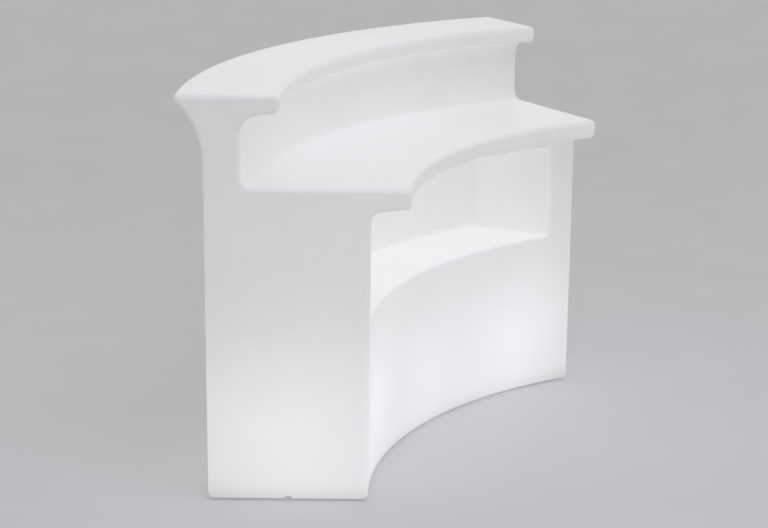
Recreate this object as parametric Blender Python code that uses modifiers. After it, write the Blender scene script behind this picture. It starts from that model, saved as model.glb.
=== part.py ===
"""An illuminated bar counter: a hollow moulded shell on levelling feet, lit by three lamp units.

Run it with blender --background --python part.py, or from the text editor. Metres, +Z up. The origin is
on the floor at the middle of the counter, +Y points at the customers and -Y at the person serving.
"""

import math

import bmesh
import bpy
import numpy as np
from mathutils import Matrix, Vector

# Gap kept between pieces that touch
TOUCH = 0.0003

# The shell in plan: a sector of a ring, measured from the arcs' centre
HALF_ANGLE = math.radians(30)
FACET_ANGLE = math.radians(3)
END_FACET_SHARE = 0.1
INNER_WALL_R = 1.2625
BODY_DEPTH = 0.4285
WALL_DRAFT = 0.0072
WORKTOP_OVERHANG = 0.1065
DECK_DEPTH = 0.1997
UPSTAND_DEPTH = 0.0982

# The shell's heights above the floor
BASE_Z = 0.004
WORKTOP_Z = 0.858
DECK_Z = 1.100
WORKTOP_LIP_DEPTH = 0.055
DECK_LIP_DEPTH = 0.047
WORKTOP_UNDERSIDE_SLOPE = 0.10
DECK_UNDERSIDE_SLOPE = 0.133

# The flare under the customers' edge
FLARE_OVERHANG = 0.0845
FLARE_RADIUS = 0.225
FLARE_ANGLE = math.radians(44)

# Edge and fillet radii of the shell
WALL = 0.006
EDGE_RADIUS = 0.016
BASE_EDGE_RADIUS = 0.014
FLARE_TIP_RADIUS = 0.010
END_EDGE_RADIUS = 0.012
DECK_FILLET = 0.048
RISER_FILLET = 0.034
LEG_FILLET = 0.032
SMALLEST_RADIUS = 0.0004

# The shelf niche in the inner wall
NICHE_END_MARGIN = 0.07625
SHELF_Z = 0.483
NICHE_TOP_DROP = 0.093
NICHE_DEPTH = 0.2455
NICHE_CORNER = 0.020
NICHE_MOUTH_RADIUS = 0.008
NICHE_MOUTH_TURN = math.radians(82)
NICHE_MOUTH_STEPS = 3
NICHE_BACK_FILLET = 0.012
NICHE_CORNER_STEPS = 3
NICHE_CUTTER_REACH = 0.030

# The recess under the base and the cord's way out through its rim
RIM_WIDTH = 0.045
RECESS_CEILING_Z = 0.034
RECESS_FILLET = 0.010
NOTCH_WIDTH = 0.018
NOTCH_HEIGHT = 0.010
NOTCH_OVERRUN = 0.012

# The lamp units, each on a round hatch
UNIT_ANGLE = math.radians(20)
HATCH_HOLE_R = 0.075
HATCH_RIM_OVERLAP = 0.019
COVER_THICKNESS = 0.004
COVER_CHAMFER = 0.001
GASKET_THICKNESS = 0.002
GASKET_INNER_LAND = 0.002
SPIGOT_CLEARANCE = 0.002
SPIGOT_THICKNESS = 0.003
SPIGOT_HEIGHT = 0.008
HATCH_SCREW_LAND = 0.010
HATCH_SCREW_COUNT = 3
BOSS_HEIGHT = 0.006
BOSS_R = 0.005

# The covers' screws, which cut their own thread in the shell's bosses
HATCH_SCREW_R = 0.0024
HATCH_SCREW_HEAD_R = 0.0048
HATCH_SCREW_HEAD_HEIGHT = 0.003
HATCH_SCREW_REACH = 0.012
SCREW_HOLE_CLEARANCE = 0.0004
GASKET_HOLE_CLEARANCE = 0.0008
HATCH_BOSS_R = 0.008
HATCH_BOSS_DEPTH = 0.014

# The pins that are heat-staked over the bracket's feet and the junction box
PIN_R = 0.0018
PIN_HEAD_R = 0.0034
PIN_HEAD_HEIGHT = 0.0016

# The lamp bracket and the lampholder, whose hollow stem snaps through the bracket
BRACKET_WIDTH = 0.024
BRACKET_THICKNESS = 0.002
BRACKET_HALF_SPAN = 0.027
BRACKET_FOOT_REACH = 0.022
BRACKET_BEND = 0.005
BRACKET_BEND_STEPS = 3
BRACKET_PIN_Y = 0.038
BRACKET_TOP_Z = 0.088
STEM_R = 0.005
STEM_BORE_R = 0.0039
STEM_LUG_R = 0.0064
STEM_LUG = 0.002
STEM_BELOW = 0.005
HOLDER_NECK_R = 0.014
HOLDER_R = 0.020
HOLDER_HEIGHT = 0.059
HOLDER_SHOULDER = 0.010
HOLDER_FLOOR = 0.016
HOLDER_BORE_R = 0.0137

# The lamp
CAP_R = 0.0133
CAP_HEIGHT = 0.027
CAP_FLOOR_GAP = 0.0007
CONTACT_R = 0.0045
CONTACT_HEIGHT = 0.003
CONTACT_RIM = 0.0027
CAP_SKIRT = 0.0054
COLLAR_HEIGHT = 0.0265
COLLAR_RIM_TAPER = 0.005
COLLAR_RIM_HEIGHT = 0.0065
COLLAR_FOOT_R = 0.016
COLLAR_FOOT_HEIGHT = 0.001
GLOBE_R = 0.0475
GLOBE_WALL = 0.0016
GLOBE_RISE = 0.031

# The cord gland, its cup in the hatch cover and the blanking plugs
CUP_OFFSET = 0.046
CUP_R = 0.022
CUP_HEIGHT = 0.030
CUP_WALL = 0.003
GLAND_THREAD_R = 0.008
GLAND_HEX_R = 0.0115
GLAND_HEX_HEIGHT = 0.005
GLAND_NECK_R = 0.0072
GLAND_NECK_LENGTH = 0.010
GLAND_CORD_R = 0.0036
GLAND_ABOVE = 0.010
GLAND_NUT_R = 0.0110
GLAND_NUT_LENGTH = 0.016
GLAND_NUT_DOME = 0.004
GLAND_NUT_MOUTH_R = 0.0077
GLAND_SEAL_LENGTH = 0.004

# The junction box and its leads
BOX_OFFSET = 0.046
BOX_LENGTH = 0.036
BOX_WIDTH = 0.048
BOX_HEIGHT = 0.022
BOX_WALL = 0.002
LID_HEIGHT = 0.004
BOX_PIN_Y = 0.016
TERMINAL_LENGTH = 0.018
TERMINAL_WIDTH = 0.022
TERMINAL_HEIGHT = 0.010
LEAD_R = 0.00325
LEAD_ENTRY_Y = 0.013
LEAD_HOLE_CLEARANCE = 0.0006
LEAD_BEND = 0.022
LEAD_STRAIGHT = 0.003
LEAD_STEP = 0.0195
LEAD_SHORT_STEP = 0.006
LEAD_EXIT_STEPS = (0.0, 0.010, 0.022)
LEAD_CURVE_STEPS = 20

# The leads' bends between the units: degrees along the arc, and metres outwards. The centre lead's are
# measured from the units' arc, and the right lead's from the arc on which it passes the outer middle foot
CENTRE_LEAD_BENDS = ((-11, -0.020), (-7, -0.012))
RIGHT_LEAD_BENDS = (
    (-12, -0.052),
    (-7, -0.020),
    (-2.5, 0.0),
    (2.5, 0.0),
    (7, -0.020),
    (11, -0.067),
    (14, -0.100),
)
LEAD_FOOT_GAP = 0.014

# The levelling feet
PAD_CLEARANCE = 0.006
PAD_R = 0.020
PAD_TOP_R = 0.0175
PAD_HEIGHT = 0.014
PAD_EDGE = 0.002
PAD_FLOOR = 0.004
DISC_R = 0.012
DISC_HEIGHT = 0.003
NECK_R = 0.006
STUD_R = 0.005
STUD_CLEARANCE = 0.0003
STUD_HEX_R = 0.0098
STUD_HEX_HEIGHT = 0.006
FOOT_INSERT_R = 0.008
FOOT_INSERT_LENGTH = 0.030
FOOT_INSERT_FLANGE_R = 0.011
FOOT_INSERT_FLANGE = 0.002
STUD_TOP_GAP = 0.002

# Edges flatter than this are shaded smooth
SMOOTH_ANGLE = math.radians(32)

# Facet counts
LARGE = 32
GLOBE_STEPS = 8
MEDIUM = 20
SMALL = 12
TINY = 8
HEXAGON = 6

# Heights and radii that follow from the sizes above
BASE_OUTER_R = INNER_WALL_R + BODY_DEPTH
WALL_TOP_R = BASE_OUTER_R + WALL_DRAFT
WORKTOP_LIP_R = INNER_WALL_R - WORKTOP_OVERHANG
DECK_LIP_R = WALL_TOP_R - DECK_DEPTH
RISER_R = WALL_TOP_R - UPSTAND_DEPTH
UNIT_R = INNER_WALL_R + BODY_DEPTH / 2
NICHE_HALF_WIDTH = INNER_WALL_R * math.sin(HALF_ANGLE) - NICHE_END_MARGIN
NICHE_TOP_Z = WORKTOP_Z - NICHE_TOP_DROP
NICHE_BACK_R = INNER_WALL_R + NICHE_DEPTH
COVER_TOP_Z = RECESS_CEILING_Z - GASKET_THICKNESS - 2 * TOUCH
COVER_BOTTOM_Z = COVER_TOP_Z - COVER_THICKNESS
COVER_R = HATCH_HOLE_R + HATCH_RIM_OVERLAP
HATCH_SCREW_CIRCLE = HATCH_HOLE_R + HATCH_SCREW_LAND
BOSS_TOP_Z = COVER_TOP_Z + BOSS_HEIGHT
BRACKET_FOOT_Z = BOSS_TOP_Z + TOUCH
CUP_CEILING_Z = COVER_TOP_Z + CUP_HEIGHT - CUP_WALL
CUP_TOP_Z = COVER_TOP_Z + CUP_HEIGHT
HOLDER_Z = BRACKET_TOP_Z + TOUCH
HOLDER_FLOOR_Z = HOLDER_Z + HOLDER_FLOOR
HOLDER_RIM_Z = HOLDER_Z + HOLDER_HEIGHT
CONTACT_Z = HOLDER_FLOOR_Z + CAP_FLOOR_GAP
CAP_TOP_Z = CONTACT_Z + CONTACT_HEIGHT + CAP_HEIGHT
COLLAR_Z = CAP_TOP_Z + TOUCH
COLLAR_TOP_Z = COLLAR_Z + COLLAR_HEIGHT
GLOBE_RIM_Z = COLLAR_TOP_Z + TOUCH
GLOBE_CENTRE_Z = GLOBE_RIM_Z + GLOBE_RISE
LEAD_Z = RECESS_CEILING_Z + WALL + TOUCH + LEAD_R
INSERT_Z = RECESS_CEILING_Z
FOOT_INSET = RIM_WIDTH + PAD_R + PAD_CLEARANCE
LEAD_PASS_R = BASE_OUTER_R - FOOT_INSET - FOOT_INSERT_R - WALL - LEAD_FOOT_GAP - LEAD_R
FOOT_END_DISTANCE = RIM_WIDTH + RECESS_FILLET + PAD_R
STUD_HEX_Z = INSERT_Z - TOUCH - STUD_HEX_HEIGHT
STUD_TOP_Z = INSERT_Z + FOOT_INSERT_LENGTH - STUD_TOP_GAP

UNITS = {"left": -UNIT_ANGLE, "centre": 0.0, "right": UNIT_ANGLE}


def clear_scene():
    for old in list(bpy.data.objects):
        bpy.data.objects.remove(old, do_unlink=True)


def collection(name):
    made = bpy.data.collections.new(name)
    bpy.context.scene.collection.children.link(made)
    return made


def material(name, colour, roughness, metallic=0.0):
    made = bpy.data.materials.new(name)
    made.use_nodes = True
    shader = made.node_tree.nodes["Principled BSDF"]
    shader.inputs["Base Color"].default_value = (*colour, 1.0)
    shader.inputs["Roughness"].default_value = roughness
    shader.inputs["Metallic"].default_value = metallic
    return made


clear_scene()
PARTS = collection("illuminated_bar_counter")
CUTTERS = collection("cutters")

SHELL = material("shell_polyethylene", (0.86, 0.87, 0.88), 0.42)
WHITE = material("white_plastic", (0.80, 0.80, 0.78), 0.35)
GREY = material("grey_plastic", (0.32, 0.33, 0.34), 0.45)
BLACK = material("black_rubber", (0.03, 0.03, 0.03), 0.75)
LEAD = material("lead_sheath", (0.72, 0.72, 0.70), 0.50)
STEEL = material("zinc_steel", (0.55, 0.56, 0.57), 0.35, 1.0)
BRASS = material("brass", (0.72, 0.53, 0.25), 0.35, 1.0)
ALUMINIUM = material("aluminium", (0.75, 0.76, 0.77), 0.40, 1.0)
OPAL = material("opal_globe", (0.92, 0.92, 0.90), 0.30)


def empty(name, location=(0, 0, 0), turn=0.0, parent=None):
    made = bpy.data.objects.new(name, None)
    made.location = location
    made.rotation_euler = (0, 0, turn)
    made.parent = parent
    PARTS.objects.link(made)
    return made


def finished(name, mesh, paint, parent):
    mesh.materials.clear()
    mesh.materials.append(paint)
    mesh.shade_smooth()
    mesh.set_sharp_from_angle(angle=SMOOTH_ANGLE)
    made = bpy.data.objects.new(name, mesh)
    made.parent = parent
    PARTS.objects.link(made)
    return made


def helper(name, mesh, parent=None):
    """A cutter, which shapes another object and isn't part of the counter."""
    made = bpy.data.objects.new(name, mesh)
    made.parent = parent
    made.hide_render = True
    made.display_type = "WIRE"
    CUTTERS.objects.link(made)
    return made


def mesh_of(name, build):
    """The mesh that a function fills in bmesh, with its faces out."""
    bm = bmesh.new()
    build(bm)
    bmesh.ops.recalc_face_normals(bm, faces=bm.faces[:])
    mesh = bpy.data.meshes.new(name)
    bm.to_mesh(mesh)
    bm.free()
    return mesh


def add_box(bm, low, high):
    size = [b - a for a, b in zip(low, high)]
    middle = [(a + b) / 2 for a, b in zip(low, high)]
    placed = Matrix.Translation(middle) @ Matrix.Diagonal((*size, 1))
    bmesh.ops.create_cube(bm, size=1, matrix=placed)


def add_cylinder(bm, centre, low, high, radius, facets):
    middle = (centre[0], centre[1], (low + high) / 2)
    turn = Matrix.Rotation(math.pi / facets, 4, "Z")
    bmesh.ops.create_cone(
        bm,
        cap_ends=True,
        segments=facets,
        radius1=radius,
        radius2=radius,
        depth=high - low,
        matrix=Matrix.Translation(middle) @ turn,
    )


def add_loft(bm, rings):
    """Skins rings of equal length and closes both ends with a face."""
    loops = [[bm.verts.new(point) for point in ring] for ring in rings]
    for near, far in zip(loops, loops[1:]):
        for i, corner in enumerate(near):
            after = (i + 1) % len(near)
            bm.faces.new((corner, near[after], far[after], far[i]))
    bm.faces.new(loops[0])
    bm.faces.new(loops[-1])


def combine(target, cutter, operation="DIFFERENCE"):
    """Adds a Boolean modifier, which takes the cutter away unless another operation is named."""
    modifier = target.modifiers.new(cutter.name, "BOOLEAN")
    modifier.operation = operation
    modifier.solver = "EXACT"
    modifier.object = cutter


def turned_mesh(name, profile, facets, centre=(0.0, 0.0)):
    """A turned shape as a plain mesh, from a Screw modifier. The profile runs down its outer side."""
    mesh = bpy.data.meshes.new(name)
    points = [(radius, 0.0, height) for radius, height in profile]
    closed = profile[0][0] > 0
    edges = [(i, i + 1) for i in range(len(points) - 1)]
    if closed:
        edges.append((len(points) - 1, 0))
    mesh.from_pydata(points, edges, [])
    blank = bpy.data.objects.new(name + "_profile", mesh)
    CUTTERS.objects.link(blank)
    screw = blank.modifiers.new("Screw", "SCREW")
    screw.steps = facets
    screw.render_steps = facets
    screw.use_merge_vertices = True
    screw.merge_threshold = 0.0001
    graph = bpy.context.evaluated_depsgraph_get()
    made = bpy.data.meshes.new_from_object(blank.evaluated_get(graph))
    bpy.data.objects.remove(blank, do_unlink=True)
    made.name = name
    made.transform(Matrix.Translation((centre[0], centre[1], 0)))
    return made


# The shell's cross-section


def wall_radius(height):
    """The outer wall's radius, which grows a little upwards as mould draft."""
    rise = (height - BASE_Z) / (DECK_Z - BASE_Z)
    return BASE_OUTER_R + (WALL_TOP_R - BASE_OUTER_R) * rise


def shell_corners():
    """The cross-section's corners, inside to outside: radius, height, fillet radius, fillet facets."""
    flare_tip_r = WALL_TOP_R + FLARE_OVERHANG
    flare_drop = FLARE_OVERHANG / math.tan(FLARE_ANGLE)
    flare_z = DECK_Z - flare_drop
    worktop_lip_z = WORKTOP_Z - WORKTOP_LIP_DEPTH
    deck_lip_z = DECK_Z - DECK_LIP_DEPTH
    leg_top_z = worktop_lip_z - WORKTOP_UNDERSIDE_SLOPE * (INNER_WALL_R - WORKTOP_LIP_R)
    riser_top_z = deck_lip_z - DECK_UNDERSIDE_SLOPE * (RISER_R - DECK_LIP_R)
    return [
        (INNER_WALL_R, BASE_Z, BASE_EDGE_RADIUS, 3),
        (BASE_OUTER_R, BASE_Z, BASE_EDGE_RADIUS, 3),
        (wall_radius(flare_z), flare_z, FLARE_RADIUS, 5),
        (flare_tip_r, DECK_Z, FLARE_TIP_RADIUS, 4),
        (DECK_LIP_R, DECK_Z, EDGE_RADIUS, 3),
        (DECK_LIP_R, deck_lip_z, EDGE_RADIUS, 3),
        (RISER_R, riser_top_z, DECK_FILLET, 4),
        (RISER_R, WORKTOP_Z, RISER_FILLET, 4),
        (WORKTOP_LIP_R, WORKTOP_Z, EDGE_RADIUS, 3),
        (WORKTOP_LIP_R, worktop_lip_z, EDGE_RADIUS, 3),
        (INNER_WALL_R, leg_top_z, LEG_FILLET, 4),
    ]


def meeting_point(a, along_a, b, along_b):
    """Where two lines of the plane cross, each given by a point and a direction."""
    cross = along_a.x * along_b.y - along_a.y * along_b.x
    gap = b - a
    return a + along_a * ((gap.x * along_b.y - gap.y * along_b.x) / cross)


def turn_between(arriving, leaving):
    """The angle from one direction to the next, positive where it turns anticlockwise."""
    return math.atan2(arriving.x * leaving.y - arriving.y * leaving.x, arriving.dot(leaving))


def rounded_outline(corners, inset=0.0, facets=None):
    """The outline with its corners rounded, moved inwards by inset. Corners run anticlockwise.

    A wall that is too short for the fillets at its two ends limits them both.
    """
    places = [Vector(corner[:2]) for corner in corners]
    count = len(places)
    ways = [(places[(i + 1) % count] - places[i]).normalized() for i in range(count)]
    moved = [places[i] + Vector((-ways[i].y, ways[i].x)) * inset for i in range(count)]
    points = [meeting_point(moved[i - 1], ways[i - 1], moved[i], ways[i]) for i in range(count)]
    turns = [turn_between(ways[i - 1], ways[i]) for i in range(count)]
    radii = []
    for corner, turn in zip(corners, turns):
        radii.append(max(corner[2] - math.copysign(inset, turn), SMALLEST_RADIUS))
    reaches = [radius * math.tan(abs(turn) / 2) for radius, turn in zip(radii, turns)]
    fits = []
    for i in range(count):
        after = (i + 1) % count
        wall = (points[after] - points[i]).length
        fits.append(min(1.0, wall / (reaches[i] + reaches[after])))
    outline = []
    for i, corner in enumerate(corners):
        fit = min(fits[i - 1], fits[i])
        arriving = ways[i - 1]
        side = math.copysign(1.0, turns[i])
        radius = radii[i] * fit
        tangent = points[i] - arriving * reaches[i] * fit
        centre = tangent + Vector((-arriving.y, arriving.x)) * side * radius
        spoke = tangent - centre
        start = math.atan2(spoke.y, spoke.x)
        steps = facets or corner[3]
        for k in range(steps + 1):
            angle = start + turns[i] * k / steps
            outline.append((centre.x + radius * math.cos(angle), centre.y + radius * math.sin(angle)))
    return outline


def ring_at_angle(outline, angle):
    return [(r * math.sin(angle), r * math.cos(angle), z) for r, z in outline]


def ring_near_end(outline, side, distance):
    """A ring in the plane that lies this far inside an end face. Side is -1 or 1."""
    angles = [side * (HALF_ANGLE - math.asin(distance / r)) for r, z in outline]
    return [(r * math.sin(a), r * math.cos(a), z) for a, (r, z) in zip(angles, outline)]


def facet_angles(end_depth=0.0, radius=INNER_WALL_R):
    """The angles of the straight facets that are clear of ends this deep at this radius."""
    free_angle = HALF_ANGLE - math.asin(end_depth / radius)
    count = int(free_angle / FACET_ANGLE - END_FACET_SHARE)
    return [FACET_ANGLE * k for k in range(-count, count + 1)]


def sector_rings(corners, inset=0.0, end_distance=0.0, end_radius=0.0, end_steps=3, facets=None):
    """The rings of a body swept round the arcs' centre, its two ends flat with rounded edges."""
    left = []
    right = []
    for k in range(end_steps + 1) if end_radius else [0]:
        swing = math.pi / 2 * (1 - k / end_steps) if end_radius else 0.0
        distance = end_distance + end_radius * (1 - math.sin(swing))
        outline = rounded_outline(corners, inset + end_radius * (1 - math.cos(swing)), facets)
        left.append(ring_near_end(outline, -1, distance))
        right.append(ring_near_end(outline, 1, distance))
    outline = rounded_outline(corners, inset, facets)
    angles = facet_angles(end_distance + end_radius, min(r for r, z in outline))
    middle = [ring_at_angle(outline, angle) for angle in angles]
    return left + middle + right[::-1]


def recess_corners(grow):
    """The recess under the base, which starts below the floor."""
    low = -RECESS_CEILING_Z
    inner = INNER_WALL_R + RIM_WIDTH - grow
    outer = BASE_OUTER_R - RIM_WIDTH + grow
    top = RECESS_CEILING_Z + grow
    radius = RECESS_FILLET + grow
    return [
        (inner, low, SMALLEST_RADIUS, 1),
        (outer, low, SMALLEST_RADIUS, 1),
        (outer, top, radius, 2),
        (inner, top, radius, 2),
    ]


def niche_loop(grow):
    """The niche's mouth seen from the front, anticlockwise, with points where the wall's facets meet."""
    half = NICHE_HALF_WIDTH + grow
    low = SHELF_Z - grow
    high = NICHE_TOP_Z + grow
    radius = NICHE_CORNER + grow
    inner = [INNER_WALL_R * math.sin(angle) for angle in facet_angles()]
    inner = [x for x in inner if abs(x) < NICHE_HALF_WIDTH - 1.2 * NICHE_CORNER]
    loop = [(x, low) for x in inner]
    floor = low + radius
    ceiling = high - radius
    corners = ((1, floor, -90), (1, ceiling, 0), (-1, ceiling, 90), (-1, floor, 180))
    for number, (side, height, start) in enumerate(corners):
        if number == 2:
            loop += [(x, high) for x in reversed(inner)]
        for k in range(NICHE_CORNER_STEPS + 1):
            angle = math.radians(start + 90 * k / NICHE_CORNER_STEPS)
            across = side * (half - radius) + radius * math.cos(angle)
            loop.append((across, height + radius * math.sin(angle)))
    return loop


def moved_loop(loop, grow):
    """The niche's loop made larger by grow, and smaller where it is negative."""
    middle_z = (SHELF_Z + NICHE_TOP_Z) / 2
    half_height = (NICHE_TOP_Z - SHELF_Z) / 2
    across = 1 + grow / NICHE_HALF_WIDTH
    up = 1 + grow / half_height
    return [(x * across, middle_z + (z - middle_z) * up) for x, z in loop]


def wall_y(radius, x):
    return math.sqrt(radius**2 - x**2)


def niche_rings(grow):
    """The niche as rings from outside its mouth to its back. Only the true niche has a rounded mouth."""
    loop = niche_loop(grow)
    rings = []

    def ring(widening, depth, radius=INNER_WALL_R):
        widened = moved_loop(loop, widening)
        rings.append([(x, wall_y(radius, x) + depth, z) for x, z in widened])

    if grow:
        ring(0.0, -NICHE_CUTTER_REACH)
    else:
        lip = NICHE_MOUTH_RADIUS
        flare = [NICHE_MOUTH_TURN * k / NICHE_MOUTH_STEPS for k in range(NICHE_MOUTH_STEPS, -1, -1)]
        widest = lip * (1 - math.cos(flare[0]))
        ring(widest + lip / 2, -NICHE_CUTTER_REACH)
        ring(widest + lip / 2, -lip / 2)
        for swing in flare:
            ring(lip * (1 - math.cos(swing)), lip * (1 - math.sin(swing)))
    back = NICHE_BACK_R + grow
    fillet = NICHE_BACK_FILLET
    for swing in (0.0, math.pi / 4, math.pi / 2):
        ring(-fillet * (1 - math.cos(swing)), -fillet * (1 - math.sin(swing)), back)
    return rings


def add_niche(bm, grow):
    """Skins the niche's rings. Its back is an upright strip between each pair of points."""
    rings = niche_rings(grow)
    loops = [[bm.verts.new(point) for point in ring] for ring in rings]
    count = len(loops[0])
    for near, far in zip(loops, loops[1:]):
        for i in range(count):
            after = (i + 1) % count
            bm.faces.new((near[i], near[after], far[after], far[i]))
    middle = count // 2
    corner = NICHE_CORNER_STEPS + 1
    along = (count - 4 * corner) // 2
    low = [*range(count - corner, count), *range(0, along + corner)]
    high = [*reversed(range(along + corner, middle + along + corner))]
    for loop in (loops[0], loops[-1]):
        for (a, b), (c, d) in zip(zip(low, low[1:]), zip(high, high[1:])):
            bm.faces.new((loop[a], loop[b], loop[d], loop[c]))


def placed_on_end(side):
    """The frame of an end face: x outwards along its normal, y along it away from the arcs' centre."""
    turn = -side * HALF_ANGLE
    outwards = Matrix.Rotation(turn, 4, "Z")
    mirror = Matrix.Diagonal((side, 1, 1, 1))
    return outwards @ mirror


def unit_places():
    """Each lamp unit's place. Its own +X side faces the leads, so the left one isn't turned round."""
    places = {}
    for name, angle in UNITS.items():
        turn = -angle if angle < 0 else math.pi - angle
        spot = Vector((UNIT_R * math.sin(angle), UNIT_R * math.cos(angle), 0))
        places[name] = Matrix.Translation(spot) @ Matrix.Rotation(turn, 4, "Z")
    return places


def foot_places():
    """The six feet, by name: on an inner and an outer row, near both ends and in the middle."""
    places = {}
    for row, radius in (("inner", INNER_WALL_R + FOOT_INSET), ("outer", BASE_OUTER_R - FOOT_INSET)):
        end_angle = HALF_ANGLE - math.asin(FOOT_END_DISTANCE / radius)
        for name, angle in (("left", -end_angle), ("centre", 0.0), ("right", end_angle)):
            spot = Vector((radius * math.sin(angle), radius * math.cos(angle), 0))
            places[f"{row}_{name}"] = Matrix.Translation(spot)
    return places


def screw_spots():
    """Where a cover's screws are, in its own unit."""
    turns = [math.pi / 3 + math.tau * k / HATCH_SCREW_COUNT for k in range(HATCH_SCREW_COUNT)]
    return [Vector((HATCH_SCREW_CIRCLE * math.cos(a), HATCH_SCREW_CIRCLE * math.sin(a), 0)) for a in turns]


def hatch_screw_places():
    return [place @ spot for place in unit_places().values() for spot in screw_spots()]


def bar_body(parent):
    """The moulded shell: its outside, less the niche, the recess, the hollow and the holes."""
    corners = shell_corners()
    outside_rings = sector_rings(corners, end_radius=END_EDGE_RADIUS)
    outside = mesh_of("bar_body", lambda bm: add_loft(bm, outside_rings))
    body = finished("bar_body", outside, SHELL, parent)

    niche = helper("niche_space", mesh_of("niche_space", lambda bm: add_niche(bm, 0.0)), parent)
    recess_rings = sector_rings(recess_corners(0.0), 0.0, RIM_WIDTH, RECESS_FILLET, 2)
    recess = helper("recess_space", mesh_of("recess_space", lambda bm: add_loft(bm, recess_rings)), parent)

    hollow_rings = sector_rings(corners, WALL, WALL, facets=2)
    hollow = helper("hollow", mesh_of("hollow", lambda bm: add_loft(bm, hollow_rings)), parent)
    niche_wall = helper("niche_wall", mesh_of("niche_wall", lambda bm: add_niche(bm, WALL)), parent)
    wall_rings = sector_rings(recess_corners(WALL), 0.0, RIM_WIDTH - WALL, RECESS_FILLET + WALL, 2)
    recess_wall = helper("recess_wall", mesh_of("recess_wall", lambda bm: add_loft(bm, wall_rings)), parent)

    def notches(bm, grow):
        half = NOTCH_WIDTH / 2 + grow
        top = BASE_Z + NOTCH_HEIGHT + grow
        for side in (-1, 1):
            piece = bmesh.new()
            low = (-RIM_WIDTH - NOTCH_OVERRUN, UNIT_R - half, -NOTCH_OVERRUN)
            add_box(piece, low, (NOTCH_OVERRUN, UNIT_R + half, top))
            piece.transform(placed_on_end(side))
            mesh = bpy.data.meshes.new("notch")
            piece.to_mesh(mesh)
            piece.free()
            bm.from_mesh(mesh)

    notch = helper("notch_space", mesh_of("notch_space", lambda bm: notches(bm, 0.0)), parent)
    notch_wall = helper("notch_wall", mesh_of("notch_wall", lambda bm: notches(bm, WALL)), parent)

    hatch_boss_top = RECESS_CEILING_Z + HATCH_BOSS_DEPTH
    foot_top = INSERT_Z + FOOT_INSERT_LENGTH
    hole_low = INSERT_Z - WALL

    def bosses(bm):
        for spot in hatch_screw_places():
            add_cylinder(bm, spot, INSERT_Z, hatch_boss_top + WALL, HATCH_BOSS_R, SMALL)
        for place in foot_places().values():
            spot = place.translation
            add_cylinder(bm, spot, INSERT_Z, foot_top + WALL, FOOT_INSERT_R + WALL, SMALL)

    def holes(bm):
        for place in unit_places().values():
            add_cylinder(bm, place.translation, hole_low, INSERT_Z + 3 * WALL, HATCH_HOLE_R, LARGE)
        for spot in hatch_screw_places():
            add_cylinder(bm, spot, hole_low, hatch_boss_top, HATCH_SCREW_R + TOUCH, TINY)
        for place in foot_places().values():
            hole = turned_mesh("foot_hole", foot_insert_profile(2 * TOUCH, hole_low), SMALL)
            hole.transform(place)
            bm.from_mesh(hole)

    boss = helper("bosses", mesh_of("bosses", bosses), parent)
    hole = helper("holes", mesh_of("holes", holes), parent)

    combine(hollow, niche_wall)
    combine(hollow, recess_wall)
    combine(hollow, notch_wall)
    combine(hollow, boss)
    combine(body, niche)
    combine(body, recess)
    combine(body, notch)
    combine(body, hollow)
    combine(body, hole)


def foot_insert_profile(grow, low=None):
    """The moulded-in insert's outside. With a low value it is the cutter for its hole."""
    top = INSERT_Z + FOOT_INSERT_LENGTH
    flange_top = INSERT_Z + FOOT_INSERT_FLANGE
    bottom = INSERT_Z if low is None else low
    outer = [
        (FOOT_INSERT_R + grow, top + (TOUCH if low is not None else 0)),
        (FOOT_INSERT_R + grow, flange_top + grow / 2),
        (FOOT_INSERT_FLANGE_R + grow, flange_top + grow / 2),
        (FOOT_INSERT_FLANGE_R + grow, bottom),
    ]
    if low is not None:
        return [(0.0, outer[0][1])] + outer + [(0.0, bottom)]
    bore = STUD_R + STUD_CLEARANCE
    return outer + [(bore, bottom), (bore, top)]


def screw_profile():
    """A pan-head screw, head down, from its tip in the shell to its crown below the cover."""
    seat = COVER_BOTTOM_Z - TOUCH
    tip = RECESS_CEILING_Z + HATCH_SCREW_REACH
    return [
        (0.0, tip),
        (HATCH_SCREW_R * 0.6, tip),
        (HATCH_SCREW_R, tip - HATCH_SCREW_R / 2),
        (HATCH_SCREW_R, seat),
        (HATCH_SCREW_HEAD_R, seat),
        (HATCH_SCREW_HEAD_R, seat - HATCH_SCREW_HEAD_HEIGHT / 2),
        (HATCH_SCREW_HEAD_R * 0.7, seat - HATCH_SCREW_HEAD_HEIGHT),
        (0.0, seat - HATCH_SCREW_HEAD_HEIGHT),
    ]


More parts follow.
